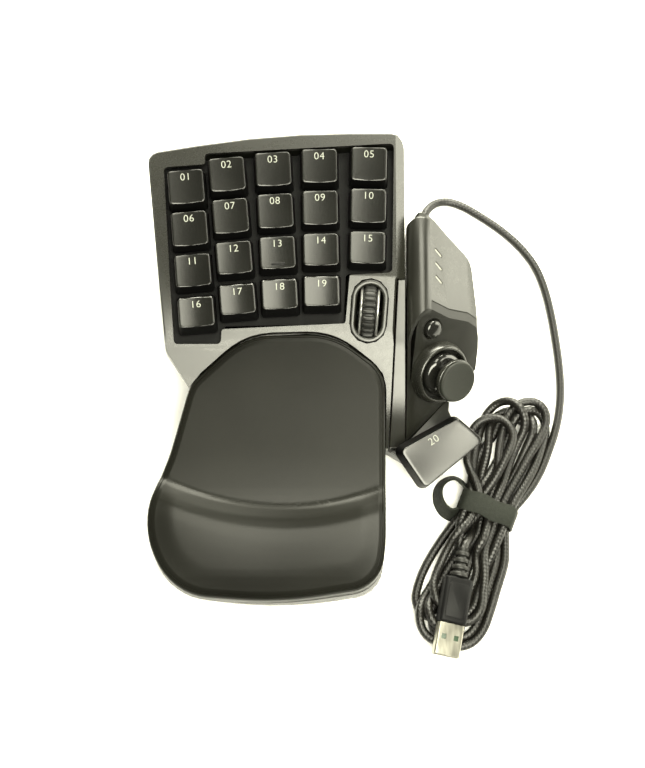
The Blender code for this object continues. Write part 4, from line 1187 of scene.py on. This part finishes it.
# Axis (x, z) of the roll along the thumb module's upper edge
RIDGE_AXIS = (44.1, 42.4)
RIDGE_RADIUS = 6.15
RIDGE_WALL = 1.4
RIDGE_FOOT = 14.0
RIDGE_BEND = 55.0


def ridge_section():
    """Section (x, z) of the left wall and the roll above it, as one bent strip."""
    arc = [math.radians(180 - 4 * step) for step in range(36)]
    outer, inner = [
        [(RIDGE_AXIS[0] + r * math.cos(a), RIDGE_AXIS[1] + r * math.sin(a)) for a in arc]
        for r in (RIDGE_RADIUS, RIDGE_RADIUS - RIDGE_WALL)
    ]
    return [(outer[0][0], RIDGE_FOOT), *outer, *inner[::-1], (inner[0][0], RIDGE_FOOT)]


def build_thumb_ridge():
    """Left wall and rolled upper edge of the thumb module."""
    section = ridge_section()
    at, normal = Vector(PANEL_AT), Vector(PANEL_NORMAL)
    front = []
    for x, z in section:
        level_part = (x - at.x) * normal.x + (z - at.z) * normal.z
        front.append((x, at.y - (level_part - 0.05) / normal.y, z))
    rings = [front, [(x, RIDGE_BEND, z) for x, z in section]]
    for inset, end in ((0.0, 72.6), (0.25, 73.4), (0.8, 74.0), (1.6, 74.3)):
        share = 1 - inset / RIDGE_RADIUS
        rings.append([
            (RIDGE_AXIS[0] + (x - RIDGE_AXIS[0]) * share, end - 0.5 * max(0.0, 43.0 - x),
             RIDGE_AXIS[1] + (z - RIDGE_AXIS[1]) * share)
            for x, z in section
        ])
    ridge = lofted("thumb_ridge", rings, ROOT, "case", SHELL, "shell_plastic")
    two_tone(ridge, PANEL_GREY, normal, 0.95, towards=True)


# ----- palm pad

PAD = (
    (28.1, 4.0, 16.0), (5.0, 21.5, 34.0), (-35.0, 20.5, 34.0), (-59.3, -1.5, 16.0),
    (-68.0, -33.0, 60.0), (-80.3, -64.0, 33.0), (-67.5, -93.3, 27.0), (-19.0, -96.6, 180.0),
    (26.0, -90.2, 16.0), (28.1, -71.0, 60.0),
)
PAD_MIDDLE = (-22.0, -38.0)
PAD_RINGS = 80
RIM_RADIUS = 1.4
TOP_INSET = 2.4
CREASE_SNAP = 0.6
# Height of the pad's bowl along y, and of its front roll ahead of the crease
BOWL = ((-104.0, 9.0), (-92.0, 15.5), (-80.0, 20.5), (-66.0, 25.0), (-54.0, 28.0), (-40.0, 30.2),
        (-20.0, 32.8), (0.0, 35.6), (24.0, 38.6))
ROLL = ((0.0, 0.0), (1.6, 1.3), (6.4, 3.4), (11.0, 4.5), (16.0, 4.7))


def tray_height(y):
    """Height of the tray's sloping top, which the pad stands on."""
    return 7.5 + (y + 97.0) * 19.5 / 117.0


def smoothed(value, low, high):
    share = min(1.0, max(0.0, (value - low) / (high - low)))
    return share * share * (3 - 2 * share)


def blurred(value, curve, shifts):
    """A curve's height, averaged over nearby places."""
    return float(np.mean([np.interp(value + shift, *zip(*curve)) for shift in shifts]))


def crease(x):
    """Where the raised front cushion starts: a shallow arc across the pad."""
    return -55.3 + 0.0042 * (x + 17.0) ** 2


def pad_top(x, y, edge):
    """Height of the pad, a bowl with a raised cushion, at a distance in from its edge."""
    ahead = crease(x) - y
    sides = smoothed(edge, 0.5, 14.0)
    bowl = blurred(y, BOWL, (-6, -3, 0, 3, 6))
    roll = blurred(ahead, ROLL, (-1.0, -0.4, 0.2, 0.8))
    lip = 1 - 0.35 * smoothed(ahead, 10.0, 42.0)
    corners = 0.88 + 0.24 * smoothed(abs(x + 24.0), 0.0, 46.0)
    return bowl + roll * lip * corners * (0.82 + 0.18 * sides)


def build_palm_pad():
    """Moulded pad: steep sides, a rounded rim, and a top with a bowl and a cushion."""
    edge = spread_out(rounded(PAD, 8), 1.2)
    rings = [level(edge, lambda x, y: tray_height(y) + GAP)]

    def drop(points, depth, inset):
        return level(points, lambda x, y: max(pad_top(x, y, inset) - depth, tray_height(y) + 1.0))

    rings.append(drop(edge, 2.2, 0.0))
    for step in range(1, 6):
        angle = math.pi / 2 * step / 5
        inset = RIM_RADIUS * (1 - math.cos(angle))
        rings.append(drop(offset(edge, -inset), 1.6 * (1 - math.sin(angle)), inset))
    rings += [drop(offset(edge, -1.7), 0.45, 1.7), drop(offset(edge, -2.1), 0.4, 2.1)]
    inner = offset(edge, -TOP_INSET)
    spans = [math.dist(point, PAD_MIDDLE) for point in edge]
    for step in range(1, PAD_RINGS):
        share = 1 - step / PAD_RINGS
        ring = []
        for (x, y), span in zip(scaled(inner, share, PAD_MIDDLE), spans):
            # Points near the crease are put on it, so that it runs evenly
            if abs(crease(x) - y) < CREASE_SNAP:
                y = crease(x)
            ring.append((x, y, pad_top(x, y, TOP_INSET + span * (1 - share))))
        rings.append(ring)
    pad = lofted("palm_cushion", rings, ROOT, "palm_rest", SOFT, "soft_touch", "palm_pad")


build_deck_keys()
build_key20()
build_wheel()
build_thumb_controls()
build_thumb_ridge()
build_palm_pad()

# ----- housings

for node, width, reshape in (
    ("top_case", 0.6, shape_case), ("base_case", 0.5, None), ("bridge_cover", 0.4, bend_front),
    ("thumb_shell", 0.5, None), ("thumb_floor", 0.4, None), ("palm_tray", 0.5, None),
):
    refined(node, width, SHELL, reshape)
panel = refined("thumb_panel", 0.5, PANEL_GREY, even=False)
two_tone(panel, SHELL, upward(PANEL), 0.8)

# The CAD's own solids take their slot's finish
for slot, finish in (
    ("shell_plastic", SHELL), ("cap_plastic", CAP), ("inner_plastic", DARK), ("soft_touch", SOFT),
    ("rubber", RUBBER), ("chrome", CHROME), ("steel", STEEL), ("board", BOARD), ("lens", LENS),
    ("braid", BRAID), ("strap", TAPE), ("tongue", TONGUE),
):
    for entry in frame["record"]["subparts"]:
        if entry["material_slot"] == slot:
            shape = frame["nodes"][entry["node"]]
            shape.data.materials.clear()
            shape.data.materials.append(finish)
